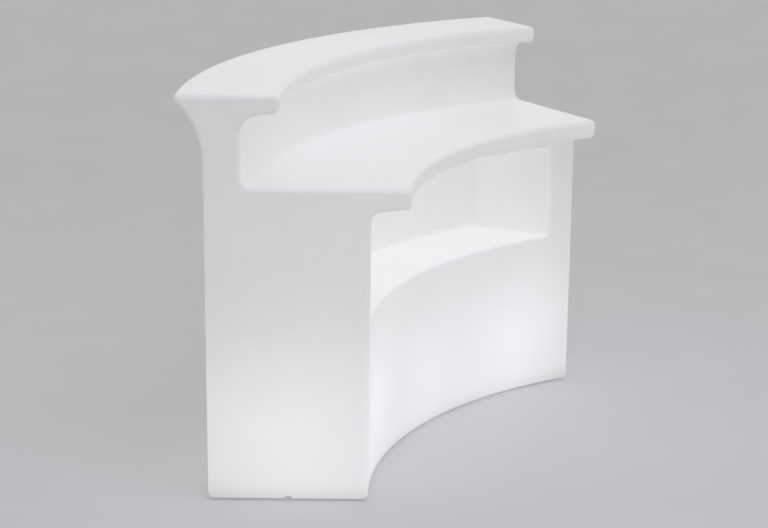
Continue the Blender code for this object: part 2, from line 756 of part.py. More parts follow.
def hatches(units):
    """The covers with their gaskets and screws."""
    plate = [
        (0.0, COVER_TOP_Z),
        (COVER_R - COVER_CHAMFER, COVER_TOP_Z),
        (COVER_R, COVER_TOP_Z - COVER_CHAMFER),
        (COVER_R, COVER_BOTTOM_Z + COVER_CHAMFER),
        (COVER_R - COVER_CHAMFER, COVER_BOTTOM_Z),
        (0.0, COVER_BOTTOM_Z),
    ]
    spigot_r = HATCH_HOLE_R - SPIGOT_CLEARANCE
    overlap_z = COVER_TOP_Z - COVER_THICKNESS / 2
    spigot = [
        (spigot_r, COVER_TOP_Z + SPIGOT_HEIGHT),
        (spigot_r, overlap_z),
        (spigot_r - SPIGOT_THICKNESS, overlap_z),
        (spigot_r - SPIGOT_THICKNESS, COVER_TOP_Z + SPIGOT_HEIGHT),
    ]
    cup_spot = (-CUP_OFFSET, 0.0)
    hole_spots = screw_spots()
    pins = [(0.0, side * BRACKET_PIN_Y, BRACKET_THICKNESS) for side in (-1, 1)]
    pins += [(BOX_OFFSET, side * BOX_PIN_Y, BOX_WALL) for side in (-1, 1)]

    def raised(bm):
        add_cylinder(bm, cup_spot, overlap_z, CUP_TOP_Z, CUP_R, MEDIUM)
        for x, y, held in pins:
            head_z = BOSS_TOP_Z + held + 2 * TOUCH
            pin = [
                (0.0, head_z + PIN_HEAD_HEIGHT),
                (PIN_HEAD_R * 0.6, head_z + PIN_HEAD_HEIGHT),
                (PIN_HEAD_R, head_z + PIN_HEAD_HEIGHT / 2),
                (PIN_HEAD_R, head_z),
                (PIN_R, head_z),
                (PIN_R, BOSS_TOP_Z),
                (BOSS_R, BOSS_TOP_Z),
                (BOSS_R, overlap_z),
                (0.0, overlap_z),
            ]
            bm.from_mesh(turned_mesh("cover_pin", pin, TINY, (x, y)))

    def holes(bm):
        inner = CUP_R - CUP_WALL
        gland_hole = turned_mesh(
            "cup_hole",
            [
                (0.0, CUP_TOP_Z + CUP_WALL),
                (GLAND_THREAD_R + TOUCH, CUP_TOP_Z + CUP_WALL),
                (GLAND_THREAD_R + TOUCH, CUP_CEILING_Z),
                (inner, CUP_CEILING_Z),
                (inner, COVER_BOTTOM_Z - CUP_WALL),
                (0.0, COVER_BOTTOM_Z - CUP_WALL),
            ],
            MEDIUM,
            cup_spot,
        )
        bm.from_mesh(gland_hole)
        for spot in hole_spots:
            radius = HATCH_SCREW_R + SCREW_HOLE_CLEARANCE
            add_cylinder(bm, spot, COVER_BOTTOM_Z - CUP_WALL, COVER_TOP_Z + CUP_WALL, radius, SMALL)

    plate_mesh = turned_mesh("hatch_cover", plate, LARGE)
    spigot_cutter = helper("cover_spigot", turned_mesh("cover_spigot", spigot, LARGE))
    raised_cutter = helper("cover_raised", mesh_of("cover_raised", raised))
    hole_cutter = helper("cover_holes", mesh_of("cover_holes", holes))
    first = bpy.data.objects.new("cover_pattern", plate_mesh)
    CUTTERS.objects.link(first)
    combine(first, spigot_cutter, "UNION")
    combine(first, raised_cutter, "UNION")
    combine(first, hole_cutter)
    cover_mesh = applied(first, "hatch_cover")

    gasket_top = RECESS_CEILING_Z - TOUCH
    gasket_low = gasket_top - GASKET_THICKNESS
    inner = HATCH_HOLE_R + GASKET_INNER_LAND
    outer = COVER_R - GASKET_INNER_LAND / 2
    section = [(outer, gasket_top), (outer, gasket_low), (inner, gasket_low), (inner, gasket_top)]
    ring = bpy.data.objects.new("gasket_pattern", turned_mesh("hatch_gasket", section, LARGE))
    CUTTERS.objects.link(ring)

    def gasket_holes(bm):
        for spot in hole_spots:
            radius = HATCH_SCREW_R + GASKET_HOLE_CLEARANCE
            low = gasket_low - GASKET_THICKNESS
            add_cylinder(bm, spot, low, gasket_top + GASKET_THICKNESS, radius, TINY)

    combine(ring, helper("gasket_holes", mesh_of("gasket_holes", gasket_holes)))
    gasket_mesh = applied(ring, "hatch_gasket")
    for name, unit in units.items():
        finished(f"hatch_cover_{name}", cover_mesh, WHITE, unit)
        finished(f"hatch_gasket_{name}", gasket_mesh, BLACK, unit)

    screw = turned_mesh("hatch_screw", screw_profile(), TINY)
    for name, unit in units.items():
        for number, spot in enumerate(screw_spots(), 1):
            made = finished(f"hatch_screw_{name}_{number}", screw, STEEL, unit)
            made.location = spot


def applied(pattern, name):
    """The pattern's mesh with its modifiers applied. The pattern is removed."""
    graph = bpy.context.evaluated_depsgraph_get()
    mesh = bpy.data.meshes.new_from_object(pattern.evaluated_get(graph))
    mesh.name = name
    bpy.data.objects.remove(pattern, do_unlink=True)
    return mesh


def bracket_path():
    """The bracket's bent strip from one foot to the other, as the line of its outer face."""
    half = BRACKET_HALF_SPAN
    foot = half + BRACKET_FOOT_REACH
    low = BRACKET_FOOT_Z + BRACKET_THICKNESS
    corners = [(half, low, 1), (half, BRACKET_TOP_Z, -1), (-half, BRACKET_TOP_Z, -1), (-half, low, 1)]
    path = [(foot, low)]
    spots = [(foot, low)] + [corner[:2] for corner in corners] + [(-foot, low)]
    for i in range(1, len(spots) - 1):
        here = Vector(spots[i])
        back = (Vector(spots[i - 1]) - here).normalized()
        on = (Vector(spots[i + 1]) - here).normalized()
        start = here + back * BRACKET_BEND
        end = here + on * BRACKET_BEND
        centre = here + (back + on) * BRACKET_BEND
        for k in range(BRACKET_BEND_STEPS + 1):
            swing = math.pi / 2 * k / BRACKET_BEND_STEPS
            arm = (start - centre) * math.cos(swing) + (end - centre) * math.sin(swing)
            path.append((centre + arm).to_tuple())
    path.append((-foot, low))
    return path


def bracket_mesh():
    """A bent steel strip, drilled for the lampholder's stem and two pins."""
    path = bracket_path()

    def sheet(bm):
        rows = [[bm.verts.new((x, y, z)) for y, z in path] for x in (-BRACKET_WIDTH / 2, BRACKET_WIDTH / 2)]
        for i in range(len(path) - 1):
            bm.faces.new((rows[0][i], rows[1][i], rows[1][i + 1], rows[0][i + 1]))

    strip = bpy.data.objects.new("bracket_pattern", mesh_of("bracket", sheet))
    CUTTERS.objects.link(strip)
    top_normal = strip.data.polygons[len(path) // 2].normal.z
    solid = strip.modifiers.new("Solidify", "SOLIDIFY")
    solid.thickness = BRACKET_THICKNESS
    solid.offset = -1.0 if top_normal > 0 else 1.0
    solid.use_even_offset = True

    def holes(bm):
        reach = 2 * BRACKET_THICKNESS
        add_cylinder(bm, (0, 0), BRACKET_TOP_Z - reach, BRACKET_TOP_Z + reach, STEM_R + TOUCH, SMALL)
        for side in (-1, 1):
            spot = (0, side * BRACKET_PIN_Y)
            low = BRACKET_FOOT_Z - BRACKET_THICKNESS
            high = BRACKET_FOOT_Z + 2 * BRACKET_THICKNESS
            add_cylinder(bm, spot, low, high, PIN_R + 2 * TOUCH, TINY)

    combine(strip, helper("bracket_holes", mesh_of("bracket_holes", holes)))
    return applied(strip, "lamp_bracket")


def globe_profile():
    """The opal globe, open at its bottom rim: down its outside, then up its inside."""
    profile = []
    inner_r = GLOBE_R - GLOBE_WALL
    outer_swing = math.acos(-GLOBE_RISE / GLOBE_R)
    inner_swing = math.acos(-GLOBE_RISE / inner_r)
    for k in range(GLOBE_STEPS + 1):
        swing = outer_swing * k / GLOBE_STEPS
        profile.append((GLOBE_R * math.sin(swing), GLOBE_CENTRE_Z + GLOBE_R * math.cos(swing)))
    for k in range(GLOBE_STEPS, -1, -1):
        swing = inner_swing * k / GLOBE_STEPS
        profile.append((inner_r * math.sin(swing), GLOBE_CENTRE_Z + inner_r * math.cos(swing)))
    return profile


def lamp_units(units):
    """The bracket, lampholder and lamp of each unit."""
    bracket = bracket_mesh()
    lug_z = BRACKET_TOP_Z - BRACKET_THICKNESS - TOUCH
    holder = turned_mesh(
        "lampholder",
        [
            (HOLDER_BORE_R, HOLDER_RIM_Z),
            (HOLDER_R, HOLDER_RIM_Z),
            (HOLDER_R, HOLDER_Z + HOLDER_SHOULDER),
            (HOLDER_NECK_R, HOLDER_Z),
            (STEM_R, HOLDER_Z),
            (STEM_R, lug_z),
            (STEM_LUG_R, lug_z),
            (STEM_R, lug_z - STEM_LUG),
            (STEM_R, lug_z - STEM_LUG - STEM_BELOW),
            (STEM_BORE_R, lug_z - STEM_LUG - STEM_BELOW),
            (STEM_BORE_R, HOLDER_FLOOR_Z),
            (HOLDER_BORE_R, HOLDER_FLOOR_Z),
        ],
        MEDIUM,
    )
    skirt_z = CONTACT_Z + CONTACT_HEIGHT + CAP_SKIRT
    cap = turned_mesh(
        "lamp_cap",
        [
            (0.0, CAP_TOP_Z),
            (CAP_R, CAP_TOP_Z),
            (CAP_R, skirt_z),
            (CONTACT_R + CONTACT_RIM, CONTACT_Z + CONTACT_HEIGHT),
            (CONTACT_R, CONTACT_Z + CONTACT_HEIGHT),
            (CONTACT_R, CONTACT_Z),
            (0.0, CONTACT_Z),
        ],
        SMALL,
    )
    rim_r = GLOBE_R * math.sin(math.acos(GLOBE_RISE / GLOBE_R))
    clear_z = max(HOLDER_RIM_Z + TOUCH, COLLAR_Z + COLLAR_FOOT_HEIGHT)
    collar = turned_mesh(
        "lamp_collar",
        [
            (0.0, COLLAR_TOP_Z),
            (rim_r, COLLAR_TOP_Z),
            (rim_r - COLLAR_RIM_TAPER, COLLAR_TOP_Z - COLLAR_RIM_HEIGHT),
            (COLLAR_FOOT_R, clear_z + COLLAR_FOOT_HEIGHT),
            (CAP_R, clear_z),
            (CAP_R, COLLAR_Z),
            (0.0, COLLAR_Z),
        ],
        MEDIUM,
    )
    globe = turned_mesh("lamp_globe", globe_profile(), MEDIUM)
    for name, unit in units.items():
        finished(f"lamp_bracket_{name}", bracket, STEEL, unit)
        finished(f"lampholder_{name}", holder, WHITE, unit)
        finished(f"lamp_cap_{name}", cap, ALUMINIUM, unit)
        finished(f"lamp_collar_{name}", collar, WHITE, unit)
        finished(f"lamp_globe_{name}", globe, OPAL, unit)


def gland(units):
    """The cord gland on the left cover and the blanking plugs on the others."""
    spot = (-CUP_OFFSET, 0.0)
    hex_top = CUP_CEILING_Z - TOUCH
    hex_low = hex_top - GLAND_HEX_HEIGHT
    neck_low = hex_low - GLAND_NECK_LENGTH
    thread_top = CUP_TOP_Z + GLAND_ABOVE
    bore = GLAND_CORD_R + TOUCH

    hex_middle = (hex_top + hex_low) / 2
    gland_stem = [
        (GLAND_THREAD_R, thread_top),
        (GLAND_THREAD_R, hex_middle),
        (GLAND_NECK_R, hex_middle),
        (GLAND_NECK_R, neck_low),
        (bore, neck_low),
        (bore, thread_top),
    ]
    plug_stem = [
        (0.0, thread_top),
        (GLAND_THREAD_R, thread_top),
        (GLAND_THREAD_R, hex_middle),
        (0.0, hex_middle),
    ]

    def with_hexagon(name, stem, hole):
        """A turned stem joined to a hexagon, which is a ring where it has a hole."""
        pattern = bpy.data.objects.new(name + "_pattern", turned_mesh(name, stem, SMALL, spot))
        CUTTERS.objects.link(pattern)
        ring = [(hole, hex_top), (GLAND_HEX_R, hex_top), (GLAND_HEX_R, hex_low), (hole, hex_low)]
        shape = turned_mesh(name + "_hexagon", ring, HEXAGON, spot)
        combine(pattern, helper(name + "_hexagon", shape), "UNION")
        return applied(pattern, name)

    body_hole = (GLAND_NECK_R + bore) / 2
    finished("gland_body", with_hexagon("gland_body", gland_stem, body_hole), GREY, units["left"])
    plug = with_hexagon("blanking_plug", plug_stem, 0.0)
    finished("blanking_plug_centre", plug, GREY, units["centre"])
    finished("blanking_plug_right", plug, GREY, units["right"])

    nut_top = hex_low - TOUCH
    nut_low = nut_top - GLAND_NUT_LENGTH
    seal_top = neck_low - TOUCH
    seal_low = seal_top - GLAND_SEAL_LENGTH
    nut_bore = GLAND_NECK_R + TOUCH
    finished(
        "gland_cap_nut",
        turned_mesh(
            "gland_cap_nut",
            [
                (GLAND_NUT_R, nut_top),
                (GLAND_NUT_R, nut_low + GLAND_NUT_DOME),
                (GLAND_NUT_MOUTH_R, nut_low),
                (bore, nut_low),
                (bore, seal_low - TOUCH),
                (nut_bore, seal_low - TOUCH),
                (nut_bore, nut_top),
            ],
            SMALL,
            spot,
        ),
        GREY,
        units["left"],
    )
    finished(
        "gland_seal",
        turned_mesh(
            "gland_seal",
            [
                (GLAND_NECK_R, seal_top),
                (GLAND_NECK_R, seal_low),
                (bore, seal_low),
                (bore, seal_top),
            ],
            SMALL,
            spot,
        ),
        BLACK,
        units["left"],
    )


def junction(units):
    """The junction box on the left cover, with its lid and terminal block."""
    unit = units["left"]
    low = BOSS_TOP_Z + TOUCH
    near = BOX_OFFSET - BOX_LENGTH / 2
    far = BOX_OFFSET + BOX_LENGTH / 2
    half = BOX_WIDTH / 2
    top = low + BOX_HEIGHT
    hole_r = LEAD_R + LEAD_HOLE_CLEARANCE
    block = mesh_of("junction_box", lambda bm: add_box(bm, (near, -half, low), (far, half, top)))
    shell = bpy.data.objects.new("box_pattern", block)
    CUTTERS.objects.link(shell)

    def inside(bm):
        add_box(
            bm,
            (near + BOX_WALL, -half + BOX_WALL, low + BOX_WALL),
            (far - BOX_WALL, half - BOX_WALL, top + BOX_WALL),
        )

    def entries(bm):
        for x, y in ((near, 0.0), (far, LEAD_ENTRY_Y), (far, -LEAD_ENTRY_Y)):
            turn = Matrix.Translation((x, y, LEAD_Z)) @ Matrix.Rotation(math.pi / 2, 4, "Y")
            bmesh.ops.create_cone(
                bm,
                cap_ends=True,
                segments=TINY,
                radius1=hole_r,
                radius2=hole_r,
                depth=BOX_WALL * 3,
                matrix=turn,
            )
        for side in (-1, 1):
            spot = (BOX_OFFSET, side * BOX_PIN_Y)
            add_cylinder(bm, spot, low - BOX_WALL, low + 1.5 * BOX_WALL, PIN_R + 2 * TOUCH, TINY)

    combine(shell, helper("box_inside", mesh_of("box_inside", inside)))
    combine(shell, helper("box_entries", mesh_of("box_entries", entries)))
    finished("junction_box", applied(shell, "junction_box"), GREY, unit)

    def lid(bm):
        add_box(bm, (near, -half, top + TOUCH), (far, half, top + TOUCH + LID_HEIGHT))
        edges = [e for e in bm.edges if all(v.co.z > top + LID_HEIGHT / 2 for v in e.verts)]
        bmesh.ops.bevel(bm, geom=edges, offset=LID_HEIGHT / 3, segments=1, affect="EDGES")

    finished("junction_box_lid", mesh_of("junction_box_lid", lid), GREY, unit)

    block_low = low + BOX_WALL + TOUCH
    block_high = block_low + TERMINAL_HEIGHT

    def terminals(bm):
        half_x = TERMINAL_LENGTH / 2
        half_y = TERMINAL_WIDTH / 2
        block_near = (BOX_OFFSET - half_x, -half_y, block_low)
        add_box(bm, block_near, (BOX_OFFSET + half_x, half_y, block_high))

    def terminal_wells(bm):
        for k in (-1, 0, 1):
            for side in (-1, 1):
                spot = (BOX_OFFSET + side * TERMINAL_LENGTH / 4, k * TERMINAL_WIDTH / 3)
                deep = block_high - TERMINAL_HEIGHT / 2
                add_cylinder(bm, spot, deep, block_high + BOX_WALL, TERMINAL_WIDTH / 11, TINY)

    block = bpy.data.objects.new("block_pattern", mesh_of("terminal_block", terminals))
    CUTTERS.objects.link(block)
    combine(block, helper("terminal_wells", mesh_of("terminal_wells", terminal_wells)))
    finished("terminal_block", applied(block, "terminal_block"), WHITE, unit)


def smooth_route(points, step):
    """Points a step apart on a smooth curve through the route's own points."""
    knots = [Vector(p) for p in points]
    padded = [knots[0] * 2 - knots[1], *knots, knots[-1] * 2 - knots[-2]]
    fine = []
    for a, b, c, d in zip(padded, padded[1:], padded[2:], padded[3:]):
        for k in range(LEAD_CURVE_STEPS):
            t = k / LEAD_CURVE_STEPS
            square = (2 * a - 5 * b + 4 * c - d) * t**2
            cube = (3 * b - a - 3 * c + d) * t**3
            fine.append((2 * b + (c - a) * t + square + cube) / 2)
    fine.append(knots[-1])
    steps = [0.0]
    for a, b in zip(fine, fine[1:]):
        steps.append(steps[-1] + (b - a).length)
    count = max(2, round(steps[-1] / step))
    wanted = np.linspace(0, steps[-1], count + 1)
    axes = [np.interp(wanted, steps, [p[i] for p in fine]) for i in range(3)]
    return [tuple(point) for point in zip(*axes)]


def lead(name, points, parent, step=LEAD_STEP):
    """A sheathed lead: a tube along the smooth curve through its route."""
    curve = bpy.data.curves.new(name, "CURVE")
    curve.dimensions = "3D"
    curve.bevel_depth = LEAD_R
    curve.bevel_resolution = 2
    curve.use_fill_caps = True
    route = smooth_route(points, step)
    spline = curve.splines.new("POLY")
    spline.points.add(len(route) - 1)
    for spot, point in zip(spline.points, route):
        spot.co = (*point, 1.0)
    curve.materials.append(LEAD)
    made = bpy.data.objects.new(name, curve)
    made.parent = parent
    PARTS.objects.link(made)


def rise_into_stem(place):
    """The end of a lead in its unit: in under the bracket, then up the lampholder's stem."""
    top = BRACKET_TOP_Z
    bend = LEAD_BEND
    swings = [math.radians(angle) for angle in (0, 30, 60, 90)]
    local = [(bend - bend * math.sin(a), 0.0, LEAD_Z + bend - bend * math.cos(a)) for a in swings]
    local.append((0.0, 0.0, top))
    return [tuple(place @ Vector(point)) for point in local]


def on_arc(radius, degrees):
    angle = math.radians(degrees)
    return (radius * math.sin(angle), radius * math.cos(angle), LEAD_Z)


def leads(arc):
    """The three leads from the junction box to the lampholders."""
    places = unit_places()
    far = BOX_OFFSET + BOX_LENGTH / 2 - BOX_WALL - TOUCH
    near = BOX_OFFSET - BOX_LENGTH / 2 + BOX_WALL + TOUCH

    def in_unit(name, x, y):
        return tuple(places[name] @ Vector((x, y, LEAD_Z)))

    left_route = [in_unit("left", near, 0.0), in_unit("left", LEAD_BEND + LEAD_STRAIGHT, 0.0)]
    lead("lead_left", left_route + rise_into_stem(places["left"]), arc, LEAD_SHORT_STEP)
    for name, entry_y, bends, radius in (
        ("centre", -LEAD_ENTRY_Y, CENTRE_LEAD_BENDS, UNIT_R),
        ("right", LEAD_ENTRY_Y, RIGHT_LEAD_BENDS, LEAD_PASS_R),
    ):
        route = [in_unit("left", far + step, entry_y) for step in LEAD_EXIT_STEPS]
        route += [on_arc(radius + outwards, degrees) for degrees, outwards in bends]
        route.append(in_unit(name, HATCH_HOLE_R, 0.0))
        lead(f"lead_{name}", route + rise_into_stem(places[name]), arc)


def feet(arc):
    """The levelling feet: pads and studs that move, and the inserts that stay."""
    cavity_r = DISC_R + 2 * TOUCH
    cavity_top = PAD_FLOOR + DISC_HEIGHT + 2 * TOUCH
    mouth_r = NECK_R + 2 * TOUCH
    pad = turned_mesh(
        "foot_pad",
        [
            (mouth_r, PAD_HEIGHT),
            (PAD_TOP_R, PAD_HEIGHT),
            (PAD_R, PAD_HEIGHT - PAD_EDGE * 2),
            (PAD_R, PAD_EDGE),
            (PAD_R - PAD_EDGE, 0.0),
            (0.0, 0.0),
            (0.0, PAD_FLOOR - TOUCH),
            (cavity_r, PAD_FLOOR - TOUCH),
            (cavity_r, cavity_top),
            (mouth_r, cavity_top),
        ],
        MEDIUM,
    )
    stud_round = [
        (0.0, STUD_TOP_Z),
        (STUD_R * 0.8, STUD_TOP_Z),
        (STUD_R, STUD_TOP_Z - STUD_R * 0.2),
        (STUD_R, STUD_HEX_Z + STUD_HEX_HEIGHT / 2),
        (NECK_R, STUD_HEX_Z + STUD_HEX_HEIGHT / 2),
        (NECK_R, PAD_FLOOR + DISC_HEIGHT),
        (DISC_R, PAD_FLOOR + DISC_HEIGHT),
        (DISC_R, PAD_FLOOR),
        (0.0, PAD_FLOOR),
    ]
    stud = bpy.data.objects.new("stud_pattern", turned_mesh("foot_stud", stud_round, SMALL))
    CUTTERS.objects.link(stud)
    hexagon = turned_mesh(
        "stud_hexagon",
        [
            (0.0, STUD_HEX_Z + STUD_HEX_HEIGHT),
            (STUD_HEX_R, STUD_HEX_Z + STUD_HEX_HEIGHT),
            (STUD_HEX_R, STUD_HEX_Z),
            (0.0, STUD_HEX_Z),
        ],
        HEXAGON,
    )
    combine(stud, helper("stud_hexagon", hexagon), "UNION")
    stud_mesh = applied(stud, "foot_stud")
    for name, place in foot_places().items():
        joint = empty(f"foot_{name}", place.translation, 0.0, arc)
        finished(f"foot_stud_{name}", stud_mesh, STEEL, joint)
        finished(f"foot_pad_{name}", pad, BLACK, joint)
    insert = turned_mesh("foot_insert", foot_insert_profile(0.0), SMALL)
    for name, place in foot_places().items():
        made = finished(f"foot_insert_{name}", insert, BRASS, arc)
        made.location = place.translation


def depth_middle():
    """How far the middle of the counter's depth lies from the arcs' centre."""
    rings = sector_rings(shell_corners(), end_radius=END_EDGE_RADIUS)
    depths = [point[1] for ring in rings for point in ring]
    return (min(depths) + max(depths)) / 2


def main():
    arc = empty("arc_centre", (0, -depth_middle(), 0))
    units = {}
    for name, place in unit_places().items():
        units[name] = empty(f"lamp_unit_{name}", place.translation, place.to_euler().z, arc)
    bar_body(arc)
    hatches(units)
    lamp_units(units)
    gland(units)
    junction(units)
    leads(arc)
    feet(arc)


main()
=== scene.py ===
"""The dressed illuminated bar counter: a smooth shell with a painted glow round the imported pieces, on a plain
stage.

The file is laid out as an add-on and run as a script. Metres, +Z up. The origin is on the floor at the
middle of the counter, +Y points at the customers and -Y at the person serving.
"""

import math

import bmesh
import bpy
from mathutils import Matrix, Vector


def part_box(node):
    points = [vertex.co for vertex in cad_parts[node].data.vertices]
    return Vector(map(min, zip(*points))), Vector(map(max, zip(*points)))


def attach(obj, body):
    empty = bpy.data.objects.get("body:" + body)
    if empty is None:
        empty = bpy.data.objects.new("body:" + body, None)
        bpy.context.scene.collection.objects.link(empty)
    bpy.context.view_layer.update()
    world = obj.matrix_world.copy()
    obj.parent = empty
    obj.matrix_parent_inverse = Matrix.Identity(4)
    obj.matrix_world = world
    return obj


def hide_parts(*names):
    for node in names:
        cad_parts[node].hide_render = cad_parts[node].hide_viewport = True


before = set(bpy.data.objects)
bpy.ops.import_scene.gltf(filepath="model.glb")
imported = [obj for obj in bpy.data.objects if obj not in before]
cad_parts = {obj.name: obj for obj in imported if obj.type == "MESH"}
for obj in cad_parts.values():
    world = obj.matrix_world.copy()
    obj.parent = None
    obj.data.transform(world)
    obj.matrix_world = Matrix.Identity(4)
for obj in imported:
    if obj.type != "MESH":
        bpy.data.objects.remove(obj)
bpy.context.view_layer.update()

bl_info = {
    "name": "Illuminated bar counter",
    "version": (1, 0, 0),
    "blender": (4, 5, 0),
    "location": "View3D > Sidebar > Counter",
    "description": "Builds the smooth shell, the finishes and the stage of an illuminated bar counter",
    "category": "Object",
}

SIDES = ("left", "centre", "right")
FEET = tuple(f"{row}_{side}" for row in ("inner", "outer") for side in SIDES)

# Lengths are in metres. The cross-section's edge radii, fillets and slopes
SMALLEST_RADIUS = 0.0004
BASE_EDGE = 0.014
FLARE_ANGLE = math.radians(44)
FLARE_BEND = 0.225
FLARE_EDGE = 0.010
LIP_EDGE = 0.016
RISER_TOP_FILLET = 0.048
RISER_FOOT_FILLET = 0.034
LEG_TOP_FILLET = 0.032
WORKTOP_UNDERSIDE_SLOPE = 0.10
DECK_UNDERSIDE_SLOPE = 0.133

# The bosses and holes in the recess, and the room that the pads have beside its rim
PAD_CLEARANCE = 0.006
SCREW_BOSS_R = 0.008
SCREW_BOSS_DEPTH = 0.014
SCREW_HOLE_R = 0.0027
INSERT_R = 0.008
INSERT_FLANGE_R = 0.011
INSERT_FLANGE_DEPTH = 0.0023
INSERT_CLEARANCE = 0.0006

# How far a cutting shape starts outside the face that it cuts
NICHE_START = 0.03
NICHE_WALL_START = 0.04
NOTCH_START = 0.02
NOTCH_PAST_RIM = 0.012
NOTCH_BELOW_FLOOR = 0.01

# How finely the curves are divided. The clearances keep the cross-sections off the rounded ends, as a share
# of a facet, and the points of the niche's mouth off its corners. The mouth's rounding stops just short of
# a quarter turn, so that it meets the wall at a crossing and not in one plane.
ARC_TOLERANCE = 0.00005
END_CLEARANCE = 0.25
NICHE_CLEARANCE = 0.004
MOUTH_SWEEP = math.radians(86)
HOLLOW_FACET_ANGLE = math.radians(3)
BOSS_FACETS = 24
SCREW_FACETS = 16
HATCH_FACETS = 96
WELD_DISTANCE = 0.00002
SHARP_ANGLE = math.radians(32)

# How high the shell is scuffed above its base, and how strongly the lamps' globes shine
SCUFF_HEIGHT = 0.030
GLOBE_STRENGTH = 0.9

# The stage
FLOOR_HALF_WIDTH = 30.0
LAMP_TARGET = (0, 0, 0.6)
SOFTBOX_PLACE = (-1.2, -1.8, 4.6)
SOFTBOX_WIDTH = 3.4
FILL_PLACE = (-5.2, -4.6, 2.6)
FILL_WIDTH = 2.6
SENSOR_WIDTH = 36.0
CAMERA_REACH = 200.0


def node_middle(node):
    low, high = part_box(node)
    return (Vector(low) + Vector(high)) / 2


def each(stem, places=SIDES):
    """The names of a piece that is there once for each place."""
    return [f"{stem}_{place}" for place in places]


def screws():
    return [f"hatch_screw_{side}_{number}" for side in SIDES for number in (1, 2, 3)]


def length(name, description, default):
    """A size in metres that a user can change."""
    return bpy.props.FloatProperty(
        name=name, description=description, default=default, min=0.0, precision=4, unit="LENGTH",
        subtype="DISTANCE",
    )


def colour(name, description, default):
    return bpy.props.FloatVectorProperty(
        name=name, description=description, default=default, size=3, min=0.0, max=1.0, subtype="COLOR"
    )


def share(name, description, default):
    """A share of a whole, or a level that is mostly below one."""
    return bpy.props.FloatProperty(
        name=name, description=description, default=default, min=0.0, soft_max=1.0, subtype="FACTOR"
    )


class ShellSizes(bpy.types.PropertyGroup):
    """The moulded shell's cross-section and plan, as radii from the arcs' centre and heights."""

    half_angle: bpy.props.FloatProperty(
        name="Half angle", description="Half of the ring's sector that the counter fills",
        default=math.radians(30), unit="ROTATION", subtype="ANGLE",
    )
    facet_angle: bpy.props.FloatProperty(
        name="Facet angle", description="Angle between the shell's cross-sections",
        default=math.radians(0.75), unit="ROTATION", subtype="ANGLE",
    )
    inner_wall_r: length("Inner wall", "Radius of the wall that faces the person serving", 1.2625)
    base_outer_r: length("Outer wall, base", "Radius of the customers' wall at the base", 1.691)
    wall_top_r: length("Outer wall, top", "Radius that the drafted wall would reach at the deck", 1.6982)
    worktop_lip_r: length("Worktop edge", "Radius of the worktop's free edge", 1.156)
    deck_lip_r: length("Deck edge", "Radius of the deck's edge over the worktop", 1.4985)
    riser_r: length("Riser", "Radius of the wall between the worktop and the deck", 1.600)
    base_z: length("Base", "Height of the shell's underside above the floor", 0.004)
    worktop_z: length("Worktop", "Height of the worktop", 0.858)
    deck_z: length("Deck", "Height of the raised deck", 1.100)
    worktop_lip: length("Worktop edge depth", "Depth of the worktop's free edge", 0.055)
    deck_lip: length("Deck edge depth", "Depth of the deck's edge over the worktop", 0.047)
    overhang: length("Flare", "How far the flare stands out at the deck", 0.0845)
    wall: length("Wall", "Thickness of the moulded wall", 0.006)
    end_edge: length("End edges", "Edge radius round both end faces", 0.012)


class NicheSizes(bpy.types.PropertyGroup):
    """The open shelf niche in the inner wall."""

    half_width: length("Half width", "Half of the niche's width", 0.555)
    shelf_z: length("Shelf", "Height of the shelf", 0.483)
    top_z: length("Top", "Height of the niche's ceiling", 0.765)
    back_r: length("Back", "Radius of the niche's back wall", 1.508)
    corner: length("Corners", "Corner radius of the niche's mouth", 0.020)
    mouth: length("Mouth edge", "Edge radius round the niche's mouth", 0.008)
    back_fillet: length("Back fillet", "Fillet radius round the niche's back wall", 0.020)


class BaseSizes(bpy.types.PropertyGroup):
    """The recess under the base and what opens into it."""

    rim: length("Rim", "Width of the rim round the recess", 0.045)
    ceiling_z: length("Recess height", "Height of the recess's ceiling above the floor", 0.034)
    fillet: length("Recess fillet", "Fillet radius of the recess", 0.010)
    notch_width: length("Notch width", "Width of the cord's way out through the rim", 0.018)
    notch_height: length("Notch height", "Height of the cord's way out through the rim", 0.010)
    hatch_r: length("Hatch hole", "Radius of the round hole under each lamp unit", 0.075)


class GlowSettings(bpy.types.PropertyGroup):
    """The shell's plastic and the glow painted on it for the light of the lamps inside it."""

    plastic: colour("Plastic", "Colour of the shell's polyethylene", (0.660, 0.652, 0.655))
    dim_light: colour("Dim light", "Colour of the light where little comes through", (0.857, 0.850, 0.856))
    bright_light: colour("Bright light", "Colour of the light where most comes through", (0.950, 0.993, 1.0))
    dim_level: share("Dim level", "Level at and below which the light has its dim colour", 0.312)
    bright_level: share("Bright level", "Level at and above which the light has its bright colour", 0.362)
    cavity: share("Cavity light", "Light that the hollow scatters to the wall, per lamp a metre away", 0.460)
    cavity_depth: length("Cavity depth", "Distance over which the scattered light is softened", 1.771)
    lamps: share("Lamp light", "Most light that the lamps add where they shine straight on the wall", 0.250)
    spread: length("Spread", "Distance over which a lamp's spot is softened", 0.116)
    half_level: bpy.props.FloatProperty(
        name="Half level", description="Lamp light on the wall that gives half of the most light",
        default=11.67, min=0.01,
    )
    contrast: bpy.props.FloatProperty(
        name="Spot contrast", description="How sharply the lamps' spots stand out", default=1.54, min=0.0
    )
    levels: bpy.props.FloatVectorProperty(
        name="Lamp levels", description="Share of its light that the left, centre and right lamp gives",
        default=(1.0, 0.58, 1.0), min=0.0, soft_max=1.0,
    )
    upward_loss: share("Upward loss", "Share of a lamp's upward light that is kept back", 0.620)
    # Painted shade: how much the painted glow is dimmed at the floor
    base_painted_shade: share("Rim shade", "Share of the light that the double wall keeps back at the floor", 0.200)
    rim_height: length("Rim height", "Height over which the base's shade fades", 0.050)


